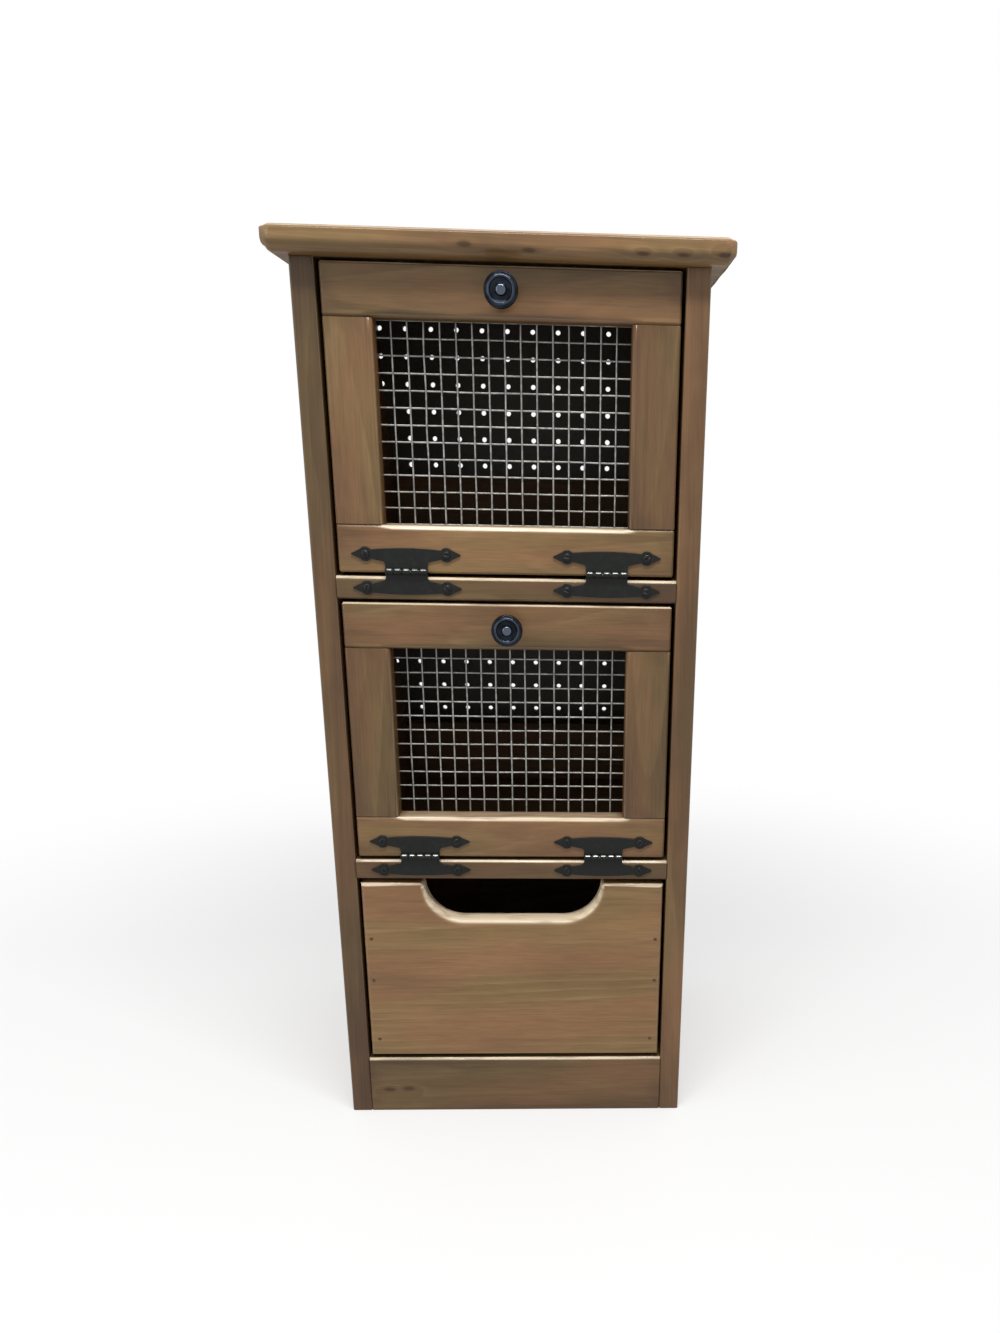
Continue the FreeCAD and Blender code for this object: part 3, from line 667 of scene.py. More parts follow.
def pine(name, tints, wear, gloss, coat):
    """Pine under a stain; wear is how far edges are painted pale, as rubbing and as a painted highlight,
    gloss the roughness, coat the varnish.
    """
    r = Recipe(name)
    log = r.attribute("grain", "Vector")
    knots = knot_distance(r, log)
    line = summer_lines(r, log, knots)
    fibre = pattern(r, log, "fibre")
    height = r.math("MULTIPLY", fibre, 0.6)
    for part, share in ((pattern(r, log, "pores"), 0.4), (line, 0.5)):
        height = r.math("ADD", height, r.math("MULTIPLY", part, share))
    fine = r.bump(height, FIBRE_DEPTH, 0.6)
    rough = r.soft_step(fibre, 0.3, 0.7, gloss + 0.08, gloss - 0.05)
    rough = r.math("ADD", rough, r.soft_step(knots, 0.13, 0.05, 0.0, 0.1))
    return r.finish(Base_Color=pine_colour(r, log, knots, line, fibre, tints, wear), Roughness=rough,
                    Normal=r.bump(pattern(r, log, "planed"), PLANED_WAVE, 0.25, fine), Coat_Roughness=0.18,
                    Coat_Weight=face_on(r, 0.1 * coat, coat), Specular_IOR_Level=face_on(r, 0.0, 0.2))


# The same wood inside and out: stained and varnished where it shows, thinly stained inside and kept darker
# than the outside as painted shade for the unlit inside of the case.  In both, the pale edge tint is partly
# rubbed wood and partly a painted highlight.
STAINED = {"spring": tint(121, 95, 59), "summer": tint(143, 115, 77), "red": tint(131, 95, 64),
           "knot": tint(68, 44, 14), "worn": tint(220, 202, 174)}
PLAIN_AND_SHADED = {"spring": tint(88, 68, 46), "summer": tint(108, 86, 58), "red": tint(98, 68, 46),
         "knot": tint(44, 30, 20), "worn": tint(130, 108, 84)}
FINISHES = {
    "stained_pine": pine("stained_pine", STAINED, wear=1.0, gloss=0.42, coat=0.35),
    "plain_pine": pine("plain_pine", PLAIN_AND_SHADED, wear=0.4, gloss=0.62, coat=0.0),
}
print("nodes in one pine finish:", len(bpy.data.materials["stained_pine"].node_tree.nodes))

# %% [markdown]
# ### Hardboard, zinc and steel
# Hardboard is pressed fibre: brown, speckled, slightly shiny, and kept very dark here, partly as painted
# shade for the unlit inside of the case.  Hot-dipped zinc is grey with a faint patchwork of crystals, and the
# plating of screws is the same, only brighter and smoother.

# %% Hardboard and zinc
def hardboard():
    """Brown fibre with fine flecks and slow clouds, kept very dark, partly as painted shade for the unlit
    inside of the case.
    """
    r = Recipe("hardboard")
    place = r.place()
    fleck = r.noise(r.scale(place, (420.0, 420.0, 420.0)), 1.0, 4.0, 0.7)
    cloud = r.noise(place, 9.0, 3.0)
    # Very dark browns: partly the board's own colour, partly painted shade for the unlit inside.
    colour = r.mix(r.soft_step(fleck, 0.35, 0.7), tint(44, 36, 30), tint(72, 57, 45))
    colour = r.mix(r.soft_step(cloud, 0.35, 0.7, 0.0, 0.4), colour, tint(38, 27, 21))
    return r.finish(Base_Color=colour, Roughness=r.soft_step(fleck, 0.2, 0.8, 0.42, 0.62),
                    Normal=r.bump(fleck, 0.12 * MM, 0.5))


def zinc(name, light, dark, rough):
    """Zinc between a light and a dark colour, crystal by crystal; rough is the least roughness."""
    r = Recipe(name)
    place = r.place()
    patch = r.node("TexVoronoi", {"Vector": place, "Scale": 260.0}, "Color")
    patch = r.node("SeparateColor", {0: patch}, 0)
    dull = r.noise(place, 60.0, 3.0)
    colour = r.mix(patch, dark, light)
    colour = r.mix(r.soft_step(dull, 0.4, 0.7, 0.0, 0.55), colour, dark)
    roughness = r.math("ADD", r.math("MULTIPLY", patch, 0.12), rough)
    return r.finish(Base_Color=colour, Metallic=0.7, Roughness=roughness,
                    Normal=r.bump(dull, 0.05 * MM, 0.4))


FINISHES["hardboard"] = hardboard()
FINISHES["galvanised_wire"] = zinc("galvanised_wire", tint(176, 174, 168), tint(128, 126, 122), 0.45)
FINISHES["plated_screw"] = zinc("plated_screw", tint(178, 178, 174), tint(138, 138, 134), 0.28)
print("finishes so far:", ", ".join(FINISHES))

# %% [markdown]
# ### Black hinges and dark knobs
# The hinges carry thick black paint with a soft hammered surface that is rubbed smooth on rims and knuckles;
# the bare metal on top of each knuckle is a painted highlight.  The knobs are turned metal, blued nearly
# black, with fine lines from the lathe and a paler button, partly a painted highlight.

# %% Black iron and blued metal
def black_iron():
    """Black paint over iron; the edge attribute says where it is rubbed smooth, and where uncovered metal is
    painted on as a highlight.
    """
    r = Recipe("black_hinge")
    place = r.place()
    edge = r.attribute("edge")
    hammered = r.node("TexVoronoi", {"Vector": place, "Scale": 420.0}, "Distance")
    dust = r.noise(place, 160.0, 4.0, 0.6)
    colour = r.mix(r.soft_step(dust, 0.4, 0.8), tint(20, 22, 20), tint(30, 33, 30))
    # Bare metal shows only on the knuckles' crowns: a painted highlight where light from above glints.
    bare_glint = r.math("MULTIPLY", r.soft_step(edge, 0.55, 1.0), r.soft_step(dust, 0.3, 0.5, 0.4, 0.9))
    colour = r.mix(bare_glint, colour, tint(170, 174, 170))
    smoothed = r.soft_step(edge, 0.0, 0.25, 0.0, 0.14)
    roughness = r.math("SUBTRACT", r.soft_step(dust, 0.3, 0.7, 0.38, 0.5), smoothed)
    fine = r.bump(hammered, 0.16 * MM, 0.35)
    return r.finish(Base_Color=colour, Metallic=bare_glint, Specular_IOR_Level=face_on(r, 0.05, 0.22),
                    Roughness=roughness, Normal=r.bump(dust, 0.08 * MM, 0.25, fine))


def blued_knob():
    """Blued metal with lathe lines; the edge attribute says where it is paler, partly rubbed and partly a
    painted highlight on the button and crest.
    """
    r = Recipe("dark_knob")
    place = r.place()
    cloud = r.noise(place, 90.0, 4.0, 0.6)
    turned = r.noise(r.scale(place, (300.0, 3500.0, 300.0)), 1.0, 2.0)
    colour = r.mix(r.soft_step(cloud, 0.35, 0.7), tint(26, 29, 34), tint(42, 47, 56))
    # Paler metal on the button and the ring's crest: partly rubbing, partly a painted highlight.
    colour = r.mix(r.attribute("edge"), colour, tint(84, 92, 104))
    return r.finish(Base_Color=colour, Metallic=1.0, Roughness=r.soft_step(cloud, 0.3, 0.7, 0.1, 0.2),
                    Normal=r.bump(turned, 0.03 * MM, 0.15))


FINISHES["black_hinge"] = black_iron()
FINISHES["dark_knob"] = blued_knob()
print("finishes:", ", ".join(FINISHES))

# %% [markdown]
# ## The straight boards
# The case's boards, the door frames, the bins' bottoms and backs and the drawer's box
# are all straight.  Each takes its size from its CAD node.  Rails and shelves have
# their grain along X, stiles and case sides along Z, and what runs to the rear along Y.

# %% Dress the straight boards
ALONG_X, ALONG_Y, ALONG_Z = 0, 1, 2
UPRIGHT = {"left": EASED, "right": EASED, "front": EASED}
LIPPED = {"top": SOFT, "bottom": EASED, "front": SOFT}
SANDED = 1.2 * MM
HAND_WORN = {"top": SANDED}


def add_door_frame(door):
    """Rails and stiles; the window's edge is routed softer than the outer one."""
    window = node_box(door + "_left_stile")[1][0], node_box(door + "_right_stile")[0][0]
    rail = {"left": EASED, "right": EASED, "front": SOFT}
    count = 0
    for part, outer, inner in (("_top_rail", "top", "bottom"), ("_bottom_rail", "bottom", "top")):
        rounds = rail | {outer: EASED, inner: ROUTED}
        count += add_board(door + part, ALONG_X, "stained_pine", rounds, window)
    for outer, inner in (("left", "right"), ("right", "left")):
        stile = {outer: EASED, inner: SOFT, "front": SOFT}
        count += add_board("%s_%s_stile" % (door, outer), ALONG_Z, "stained_pine", stile)
    return count


quads = 0
for node in ("left_side", "right_side"):
    quads += add_board(node, ALONG_Z, "stained_pine", UPRIGHT)
for node in ("upper_shelf", "lower_shelf"):
    quads += add_board(node, ALONG_X, "stained_pine", LIPPED)
quads += add_board("kick_board", ALONG_X, "stained_pine", {"top": SOFT, "front": SOFT})
quads += add_board("floor_board", ALONG_X, "plain_pine", {})
for door in ("upper", "lower"):
    quads += add_door_frame(door)
    quads += add_board(door + "_bin_bottom", ALONG_X, "plain_pine", {})
    quads += add_board(door + "_bin_back", ALONG_X, "plain_pine", HAND_WORN)
for node in ("drawer_left_side", "drawer_right_side"):
    quads += add_board(node, ALONG_Y, "plain_pine", HAND_WORN)
quads += add_board("drawer_back", ALONG_X, "plain_pine", HAND_WORN)
quads += add_board("drawer_bottom", ALONG_X, "plain_pine", {})
print("straight boards:", quads, "quads")

# %% [markdown]
# The top board overhangs the case.  Its upper edges are only eased, and its lower
# edges are rounded far enough to read as a soft moulding from the front.

# %% Dress the top board
MOULDED = 9.0 * MM
UPPER_ARRIS = 3.5 * MM
rounds = {side: MOULDED for side in ("left", "right", "front", "bottom")}
quads = add_board("top_board", ALONG_X, "stained_pine", rounds | {"top": UPPER_ARRIS})
print("top board:", quads, "quads")

# %% [markdown]
# ## Sawn outlines
# The drawer's front and the bins' sides are boards too, but sawn to an outline.  A
# curve in such an outline is an arc, and shrinking the outline moves all its sides
# inwards by the same distance, as a contour gauge with a spacer would draw it.

# %% Outlines
def arc(centre, radius, start, end, steps):
    """Points at centre + radius * (cos a, sin a), with a from start to end in degrees."""
    angles = np.radians(np.linspace(start, end, steps + 1))
    return np.stack([centre[0] + radius * np.cos(angles), centre[1] + radius * np.sin(angles)], axis=1)


def shrink(outline, distance):
    """An outline, counter-clockwise, moved inwards.

    Each point moves along the mean of its two sides' inward normals, divided by one
    plus the cosine between them, which keeps the sides parallel.
    """
    sides = np.roll(outline, -1, axis=0) - outline
    sides /= np.linalg.norm(sides, axis=1, keepdims=True)
    inward = np.stack([-sides[:, 1], sides[:, 0]], axis=1)
    before = np.roll(inward, 1, axis=0)
    corner = inward + before
    corner /= 1 + (inward * before).sum(axis=1, keepdims=True)
    return outline + corner * np.reshape(distance, (-1, 1))


circle = arc((0, 0), 10 * MM, 0, 345, 23)
print("a 10 mm circle shrunk by 2 mm reaches", round(np.ptp(shrink(circle, 2 * MM)) / 2 / MM, 2), "mm")

# %% [markdown]
# A plate is built from rings: the outline is shrunk a little at each step of the edge's
# round, and the rings are joined like the hoops of a barrel.  One flat face closes
# each end.

# %% Plates
def plate(outline, start, end, front_round, rear_round, steps=4):
    """A plate with rounded rims between two depths.

    Returns rings of (u, v, depth), the faces, how far each place lies into a rim, and
    how far the outline there faces up.  In a round at angle t the ring is
    radius * (1 - sin t) inside the outline and radius * (1 - cos t) behind its face.
    """
    angles = np.linspace(0, np.pi / 2, steps + 1)
    rings = []
    for radius, depth, sign, turn in ((front_round, start, 1, angles), (rear_round, end, -1, angles[::-1])):
        radius = np.broadcast_to(radius, len(outline))
        for angle in turn:
            shifted = shrink(outline, radius * (1 - np.sin(angle)))
            rings.append(np.column_stack([shifted, depth + sign * radius * (1 - np.cos(angle))]))
    count = len(outline)
    front_face = list(range(count))
    rear_face = list(range((len(rings) - 1) * count, len(rings) * count))
    faces = [front_face, rear_face[::-1]] + grid_quads(len(rings), count, closed=True, flip=True).tolist()
    rim = np.repeat(np.concatenate([np.sin(2 * angles)] * 2), count)
    up = np.clip(1.5 * (outline - shrink(outline, 1.0))[:, 1], 0, 1)
    return np.concatenate(rings), faces, rim, np.tile(up, len(rings))


def smooth_rims(faces):
    """A plate's first two faces, its flat ends, aren't shaded smooth; all the others are."""
    return np.arange(len(faces)) > 1


def turned(ring_places, across, up, deep):
    """Places (u, v, depth) put to the axes across, up and deep of the frame."""
    places = np.empty((len(ring_places), 3))
    for column, axis in enumerate((across, up, deep)):
        places[:, axis] = ring_places[:, column]
    return places


print("a plate from that circle has", len(plate(circle, 0, 5 * MM, MM, MM)[1]), "faces")

# %% [markdown]
# The hand grip is a shallow scoop with big round corners, sanded softer than the rest.
# It would be a spline in a drawing program; here two quarter circles and the straight
# top edge say the same with three sizes.

# %% Dress the drawer's front
GRIP_HALF = 81.0 * MM
GRIP_DEPTH = 36.0 * MM
GRIP_ROUND = 6.0 * MM
LIP = 3.0 * MM
END_ROUND = 3.5 * MM

low, high = node_box("drawer_front")
upper = high[2]
right_scoop = arc((GRIP_HALF - GRIP_DEPTH, upper), GRIP_DEPTH, -5, -90, 20)
right_lip = arc((GRIP_HALF + LIP, upper - LIP), LIP, 90, 180, 5)
end_heights = [low[2], low[2] + LIP, upper - LIP, upper]
half = np.concatenate([[[high[0], height] for height in end_heights], right_lip, right_scoop])
grip = np.concatenate([half, (half * (-1, 1))[::-1]])
in_grip = (np.abs(grip[:, 0]) < GRIP_HALF + LIP) & (grip[:, 1] > low[2] + GRIP_DEPTH)
front_round = np.where(in_grip, GRIP_ROUND, np.where(np.abs(grip[:, 0]) < high[0], EASED, END_ROUND))
rings, faces, rim, up = plate(grip, low[1], high[1], front_round, np.where(in_grip, EASED, TIGHT))
places = turned(rings, 0, 2, 1)
# In the grip the pale edge tint runs from the face into the scoop: partly rubbing by hands, partly a painted
# highlight where the scoop faces up.
inside = np.clip(2 * (places[:, 1] - low[1]) / GRIP_ROUND, 0, 1) * (places[:, 1] < high[1] - TINY)
rim = np.where(np.tile(in_grip, len(places) // len(grip)), inside, rim)
attributes = wood_attributes("drawer_front", places, ALONG_X, rim, up)
front = new_object("drawer_front_wood", places, faces, smooth_rims(faces), attributes)
dress(front, ["drawer_front"], "stained_pine")
print("drawer front:", len(grip), "points in the outline,", len(faces), "faces")

# %% [markdown]
# A bin's side is part of a circle about the hinge pin, so that it sweeps past the
# board above as the door tilts.  Its heel at the rear comes up against that board and
# ends the tilt.  All of it follows from the pin and the boxes of two CAD nodes.

# %% Dress the bins' sides
def pin_of(bin_name):
    """Y and Z of the hinge pin's axis: what the door's joint turns about."""
    joint = next(item for item in frame["joints"] if item["name"] == bin_name + "_bin_tilt")
    return joint["pos_m"][1], joint["pos_m"][2]


def add_bin_side(bin_name, side):
    """A sector about the pin with a heel, 12 mm thick."""
    node = "%s_bin_%s_side" % (bin_name, side)
    low, high = node_box(node)
    pin_y, pin_z = pin_of(bin_name)
    heel = node_box(bin_name + "_bin_back")[1][2]
    radius = math.hypot(low[1] - pin_y, high[2] - pin_z)
    first = math.degrees(math.asin((heel - pin_z) / radius))
    last = math.degrees(math.asin((high[2] - pin_z) / radius))
    sweep = arc((pin_y, pin_z), radius, first, last, 36)
    outline = np.concatenate([[[low[1], low[2]], [high[1], low[2]], [high[1], heel]], sweep])
    rings, faces, rim, up = plate(outline, low[0], high[0], SANDED, SANDED, steps=3)
    faces = [face[::-1] for face in faces]
    places = turned(rings, 1, 2, 0)
    attributes = wood_attributes(node, places, ALONG_Y, rim, up)
    piece = new_object(node + "_wood", places, faces, smooth_rims(faces), attributes)
    dress(piece, [node], "plain_pine")
    return len(faces)


for bin_name in ("upper", "lower"):
    for side in ("left", "right"):
        print(bin_name, side, "bin side:", add_bin_side(bin_name, side), "faces")

# %% [markdown]
# ## The perforated back
# Pegboard is punched on a one inch lattice.  One square tile with a round hole in its
# middle is worked out once: points of the hole's circle, and the same directions
# carried out to the square.

# %% A pegboard tile
PEG_PITCH = 25.4 * MM
# A hole's radius, and how far its mouth is broken.
PEG_HOLE = 2.4 * MM
PEG_LIP = 0.3 * MM
PEG_POINTS = 16


def peg_tile(front, rear):
    """A square of board with a round hole: rings from the front's border through the hole to the rear's."""
    angles = np.arange(PEG_POINTS) * 2 * np.pi / PEG_POINTS + np.pi / 4
    circle = np.stack([np.cos(angles), np.sin(angles)], axis=1)
    square = circle / np.abs(circle).max(axis=1, keepdims=True) * PEG_PITCH / 2
    mouth = circle * (PEG_HOLE + PEG_LIP)
    hole = circle * PEG_HOLE
    steps = [(square, front), (mouth, front), (hole, front + PEG_LIP),
             (hole, rear - PEG_LIP), (mouth, rear), (square, rear)]
    rings = [np.column_stack([ring[:, 0], np.full(PEG_POINTS, depth), ring[:, 1]]) for ring, depth in steps]
    return np.concatenate(rings), grid_quads(len(steps), PEG_POINTS, closed=True)


low, high = node_box("back_panel")
tile, tile_quads = peg_tile(low[1], high[1])
print("a tile has", len(tile_quads), "faces")

# %% [markdown]
# Copies of the tile share their borders, and plain margins fill the panel up to its
# edges.

# %% Dress the back panel
PEG_FIRST_ROW = 21.0 * MM
PEG_COLUMNS = 12

first_row = high[2] - PEG_FIRST_ROW
rows = int((first_row - low[2] - PEG_HOLE) / PEG_PITCH)
columns_x = (np.arange(PEG_COLUMNS) - (PEG_COLUMNS - 1) / 2) * PEG_PITCH
rows_z = first_row - np.arange(rows) * PEG_PITCH
centres = np.stack(np.meshgrid(columns_x, [0.0], rows_z, indexing="ij"), axis=-1).reshape(-1, 3)
places = (centres[:, None] + tile).reshape(-1, 3)
starts = np.arange(len(centres))[:, None, None] * len(tile)
quads = (starts + tile_quads).reshape(-1, 4)

field_x = PEG_COLUMNS / 2 * PEG_PITCH
field_top = rows_z[0] + PEG_PITCH / 2
field_foot = rows_z[-1] - PEG_PITCH / 2


def margin(x_lines, z_lines):
    """A plain slab between the panel's two faces, with grid lines at these places."""
    lines = [np.array(values) for values in (x_lines, (low[1], high[1]), z_lines)]
    margin_places, margin_quads = box_skin(lines)
    return margin_places, margin_quads.tolist()


# The side margins' lines meet the corners and the middles of the tiles beside them.
row_lines = np.linspace(field_foot, field_top, 4 * rows + 1)
across = (low[0], high[0])
shells = [(places, quads.tolist()),
          margin((low[0], -field_x), row_lines), margin((field_x, high[0]), row_lines),
          margin(across, (low[2], field_foot)), margin(across, (field_top, high[2]))]
places, faces = merge(shells)
panel = new_object("back_panel_board", places, faces, smooth=False)
dress(panel, ["back_panel"], "hardboard")
print("back panel:", len(centres), "holes,", len(faces), "faces")

# %% [markdown]
# ## The wire nets
# Hardware cloth is two layers of straight wire, welded where they cross and dipped in
# zinc.  A wire is a circle carried along a path, and so is a staple.

# %% Tubes
TUBE_SIDES = 8


def tube(path, radius, sides=TUBE_SIDES):
    """A circle carried along a path, with closed ends.

    The circle's two axes are at right angles to the path's direction: one is the
    direction crossed with a fixed helper, the other is crossed with both.
    """
    path = np.asarray(path, dtype=float)
    direction = np.gradient(path, axis=0)
    direction /= np.linalg.norm(direction, axis=1, keepdims=True)
    helper = np.eye(3)[np.argmin(np.ptp(path, axis=0))]
    first = np.cross(direction, helper)
    first /= np.linalg.norm(first, axis=1, keepdims=True)
    second = np.cross(direction, first)
    angles = np.arange(sides)[:, None] * 2 * np.pi / sides
    around = np.cos(angles) * first[:, None] + np.sin(angles) * second[:, None]
    places = (path[:, None] + radius * around).reshape(-1, 3)
    ends = [list(range(sides))[::-1], list(range(len(places) - sides, len(places)))]
    return places, grid_quads(len(path), sides, closed=True).tolist() + ends


print("a straight tube has", len(tube([(0, 0, 0), (0, 0, 1)], MM)[1]), "faces")

# %% [markdown]
# The wires that run up lie against the frame's back, and those that run across lie
# behind them, a little sunk in where they are welded.  All waver by a tenth of a
# millimetre, because no cut piece of net is quite flat.

# %% Wires
WIRE_PITCH = 12.7 * MM
WIRE_RADIUS = 0.75 * MM
WIRE_CLEAR = 0.1 * MM
WIRE_LAYER = 1.7 * WIRE_RADIUS
WIRE_POINTS = 24


def net_depths(door):
    """Y of the frame's rear face, of the wires that run up and of those that run across."""
    frame_back = node_box(door + "_left_stile")[1][1]
    up_y = frame_back + WIRE_RADIUS + WIRE_CLEAR
    return frame_back, up_y, up_y + WIRE_LAYER


def waver(generator):
    """A slow random wave along a wire, about a tenth of a millimetre high."""
    travel = np.linspace(0, 1, WIRE_POINTS)
    waves = [generator.normal(0, 0.07 * MM) * np.sin(2 * np.pi * (turns * travel + generator.uniform()))
             for turns in (0.7, 1.6, 3.1)]
    return sum(waves)


def add_net(door):
    """Wires one pitch apart, counted both ways from the net's middle."""
    node = door + "_wire_net"
    low, high = node_box(node)
    generator = seeded(node)
    middle = (low[2] + high[2]) / 2
    _, up_y, across_y = net_depths(door)
    half_columns = int(high[0] / WIRE_PITCH)
    half_rows = int((high[2] - middle) / WIRE_PITCH)
    wires = []
    for column in range(-half_columns, half_columns + 1):
        z = np.linspace(low[2], high[2], WIRE_POINTS)
        x = column * WIRE_PITCH + waver(generator)
        wires.append(tube(np.column_stack([x, np.full(WIRE_POINTS, up_y), z]), WIRE_RADIUS))
    for row in range(-half_rows, half_rows + 1):
        x = np.linspace(low[0], high[0], WIRE_POINTS)
        z = middle + row * WIRE_PITCH + waver(generator)
        wires.append(tube(np.column_stack([x, np.full(WIRE_POINTS, across_y), z]), WIRE_RADIUS))
    net = new_object(node + "_wires", *merge(wires))
    dress(net, [node], "galvanised_wire")
    return len(wires)


print("the net's two layers lie", round(WIRE_LAYER / MM, 2), "mm apart")

# %% [markdown]
# Small staples hold the net's border to the back of the frame.  Each stands over one
# wire, with its crown across it and both legs in the wood.

# %% Dress the wire nets
STAPLE_RADIUS = 0.5 * MM
STAPLE_HALF = 3.0 * MM
STAPLE_LEG = 5.0 * MM
STAPLE_SIDES = 6
# The wires that are stapled, counted from the net's middle, and how far in from its border.
STAPLED_COLUMNS = (-6, -2, 2, 6)
STAPLED_ROWS = (-4, 0, 4)
COLUMN_INSET = 5.0 * MM
ROW_INSET = 6.0 * MM


def add_staples(door):
    """Staples along the four borders; a crown reaches STAPLE_HALF to both sides of its wire."""
    node = door + "_wire_net"
    low, high = node_box(node)
    middle = (low[2] + high[2]) / 2
    frame_back, _, across_y = net_depths(door)
    leg_y = frame_back - STAPLE_LEG
    crown_y = across_y + WIRE_RADIUS + STAPLE_RADIUS
    spots = [((column * WIRE_PITCH, z), (STAPLE_HALF, 0.0))
             for column in STAPLED_COLUMNS for z in (low[2] + COLUMN_INSET, high[2] - COLUMN_INSET)]
    spots += [((x, middle + row * WIRE_PITCH), (0.0, STAPLE_HALF))
              for row in STAPLED_ROWS for x in (low[0] + ROW_INSET, high[0] - ROW_INSET)]
    staples = []
    for (x, z), (reach_x, reach_z) in spots:
        path = [(x - reach_x, leg_y, z - reach_z), (x - reach_x, crown_y, z - reach_z),
                (x + reach_x, crown_y, z + reach_z), (x + reach_x, leg_y, z + reach_z)]
        staples.append(tube(path, STAPLE_RADIUS, STAPLE_SIDES))
    holder = new_object(door + "_net_staples", *merge(staples))
    dress(holder, [], "plated_screw", node_body(node))
    return len(staples)


for door in ("upper", "lower"):
    print(door, "net:", add_net(door), "wires,", add_staples(door), "staples")

# %% [markdown]
# ## Turned and rolled metal
# Knobs, knuckles, pins and screw heads are all turned shapes: a profile of radius and
# height carried round an axis.

# %% Revolve a profile
def revolve(profile, centre, axis, steps):
    """A closed turned shape.

    Each place is centre + height * axis + radius * (cos a * side + sin a * other), for
    the profile's rows of (height, radius) and a round the circle.  The ends close in
    one point each.
    """
    profile = np.asarray(profile, dtype=float)
    axis = np.asarray(axis, dtype=float)
    side = np.eye(3)[(np.argmax(np.abs(axis)) + 1) % 3]
    other = np.cross(axis, side)
    angles = np.arange(steps) * 2 * np.pi / steps
    around = np.cos(angles)[:, None] * side + np.sin(angles)[:, None] * other
    rings = profile[:, 0, None, None] * axis + profile[:, 1, None, None] * around
    places = np.concatenate([rings.reshape(-1, 3), [profile[0, 0] * axis, profile[-1, 0] * axis]]) + centre
    first, last = len(places) - 2, len(places) - 1
    start = last - 1 - steps
    pairs = [(step, (step + 1) % steps) for step in range(steps)]
    caps = [[first, b, a] for a, b in pairs]
    caps += [[last, start + a, start + b] for a, b in pairs]
    return places, grid_quads(len(profile), steps, closed=True).tolist() + caps


print("a rod turned in 8 steps has", len(revolve([(0, 1), (1, 1)], (0, 0, 0), (0, 0, 1), 8)[1]), "faces")

# %% [markdown]
# ## Hinges
# Each hinge is a pair of flat leaves with spear-shaped ends and a narrow neck, rolled
# round a pin at five knuckles.  Seen from the front a leaf's outline is a neck, a
# shoulder, a spear at each end and an outer edge that bows outwards.

# %% Hinge outline
LEAF_THICKNESS = 1.6 * MM
LEAF_REACH = 18.6 * MM
LEAF_SHOULDER = 8.0 * MM
LEAF_TIP = 44.5 * MM
SPEAR_CENTRE = 33.0 * MM
SPEAR_OFFSET = 13.5 * MM
SPEAR_RADIUS = 5.7 * MM
NECK_HALF = 17.3 * MM
NECK_FILLET = 3.0 * MM
# Half of the little flat that ends a spear, and the neck's distance from the pin's middle.
TIP_HALF = 0.4 * MM
NECK_START = 0.4 * MM


def leaf_outline():
    """Outline of a leaf above its pin, counter-clockwise.

    The spear's round runs from 140 to 42 degrees below its tip's direction and back
    above it; its pointed tip is two lines.  The bow is a parabola between the spears.
    """
    centre = (SPEAR_CENTRE, SPEAR_OFFSET)
    fillet = arc((NECK_HALF + NECK_FILLET, LEAF_SHOULDER - NECK_FILLET), NECK_FILLET, 180, 90, 6)
    under = arc(centre, SPEAR_RADIUS, -140, -42, 12)
    over = arc(centre, SPEAR_RADIUS, 42, 140, 12)
    join_x, join_z = over[-1]
    part = np.linspace(1, 0, 14)[1:]
    bow = np.column_stack([join_x * part, LEAF_REACH - (LEAF_REACH - join_z) * part ** 2])
    tip = [[LEAF_TIP, SPEAR_OFFSET - TIP_HALF], [LEAF_TIP, SPEAR_OFFSET + TIP_HALF]]
    half = np.concatenate([[[NECK_HALF, NECK_START]], fillet, under, tip, over, bow])
    return np.concatenate([half, (half[:-1] * (-1, 1))[::-1]])


print("points in a leaf's outline:", len(leaf_outline()))

# %% [markdown]
# A knuckle is a strip of the leaf rolled round the pin.  The two leaves' knuckles take
# turns along it, with a hair's breadth between them.

# %% Knuckles
BARREL_RADIUS = 2.5 * MM
PIN_RADIUS = 1.25 * MM
KNUCKLES = 5
KNUCKLE_GAP = 0.3 * MM
KNUCKLE_ROUND = 0.35 * MM
KNUCKLE_STEPS = 28


def knuckle(number, centre):
    """One knuckle: a rolled tube's outside with softened ends, along the pin.

    The third value is a painted highlight: uncovered metal on the upper front of the knuckle, where the light
    from above glints, strongest in its middle.
    """
    length = (2 * NECK_HALF - KNUCKLE_GAP * (KNUCKLES - 1)) / KNUCKLES
    start = -NECK_HALF + number * (length + KNUCKLE_GAP)
    cut = 0.3 * KNUCKLE_ROUND
    end = [(start, PIN_RADIUS), (start, BARREL_RADIUS - KNUCKLE_ROUND), (start + cut, BARREL_RADIUS - cut),
           (start + KNUCKLE_ROUND, BARREL_RADIUS), (start + 0.25 * length, BARREL_RADIUS)]
    mirrored = [(2 * start + length - height, radius) for height, radius in end[::-1]]
    places, faces = revolve(end + mirrored, centre, (1, 0, 0), KNUCKLE_STEPS)
    local = places - centre
    crown = np.clip((0.8 * local[:, 2] - 0.6 * local[:, 1]) / BARREL_RADIUS, 0, 1)
    along = 2 * (local[:, 0] - start) / length - 1
    return places, faces, crown ** 4 * np.clip(1.5 - 1.7 * along ** 2, 0, 1)


print("faces of one knuckle:", len(knuckle(0, (0, 0, 0))[1]))

# %% [markdown]
# The upper leaf is screwed to the door and carries the second and the fourth knuckle.
# The lower one, on the shelf's front edge, carries the other three.

# %% Dress the hinge leaves
FRONT_RIM = 0.45 * MM
REAR_RIM = 0.2 * MM
RIM_RUB = 0.5


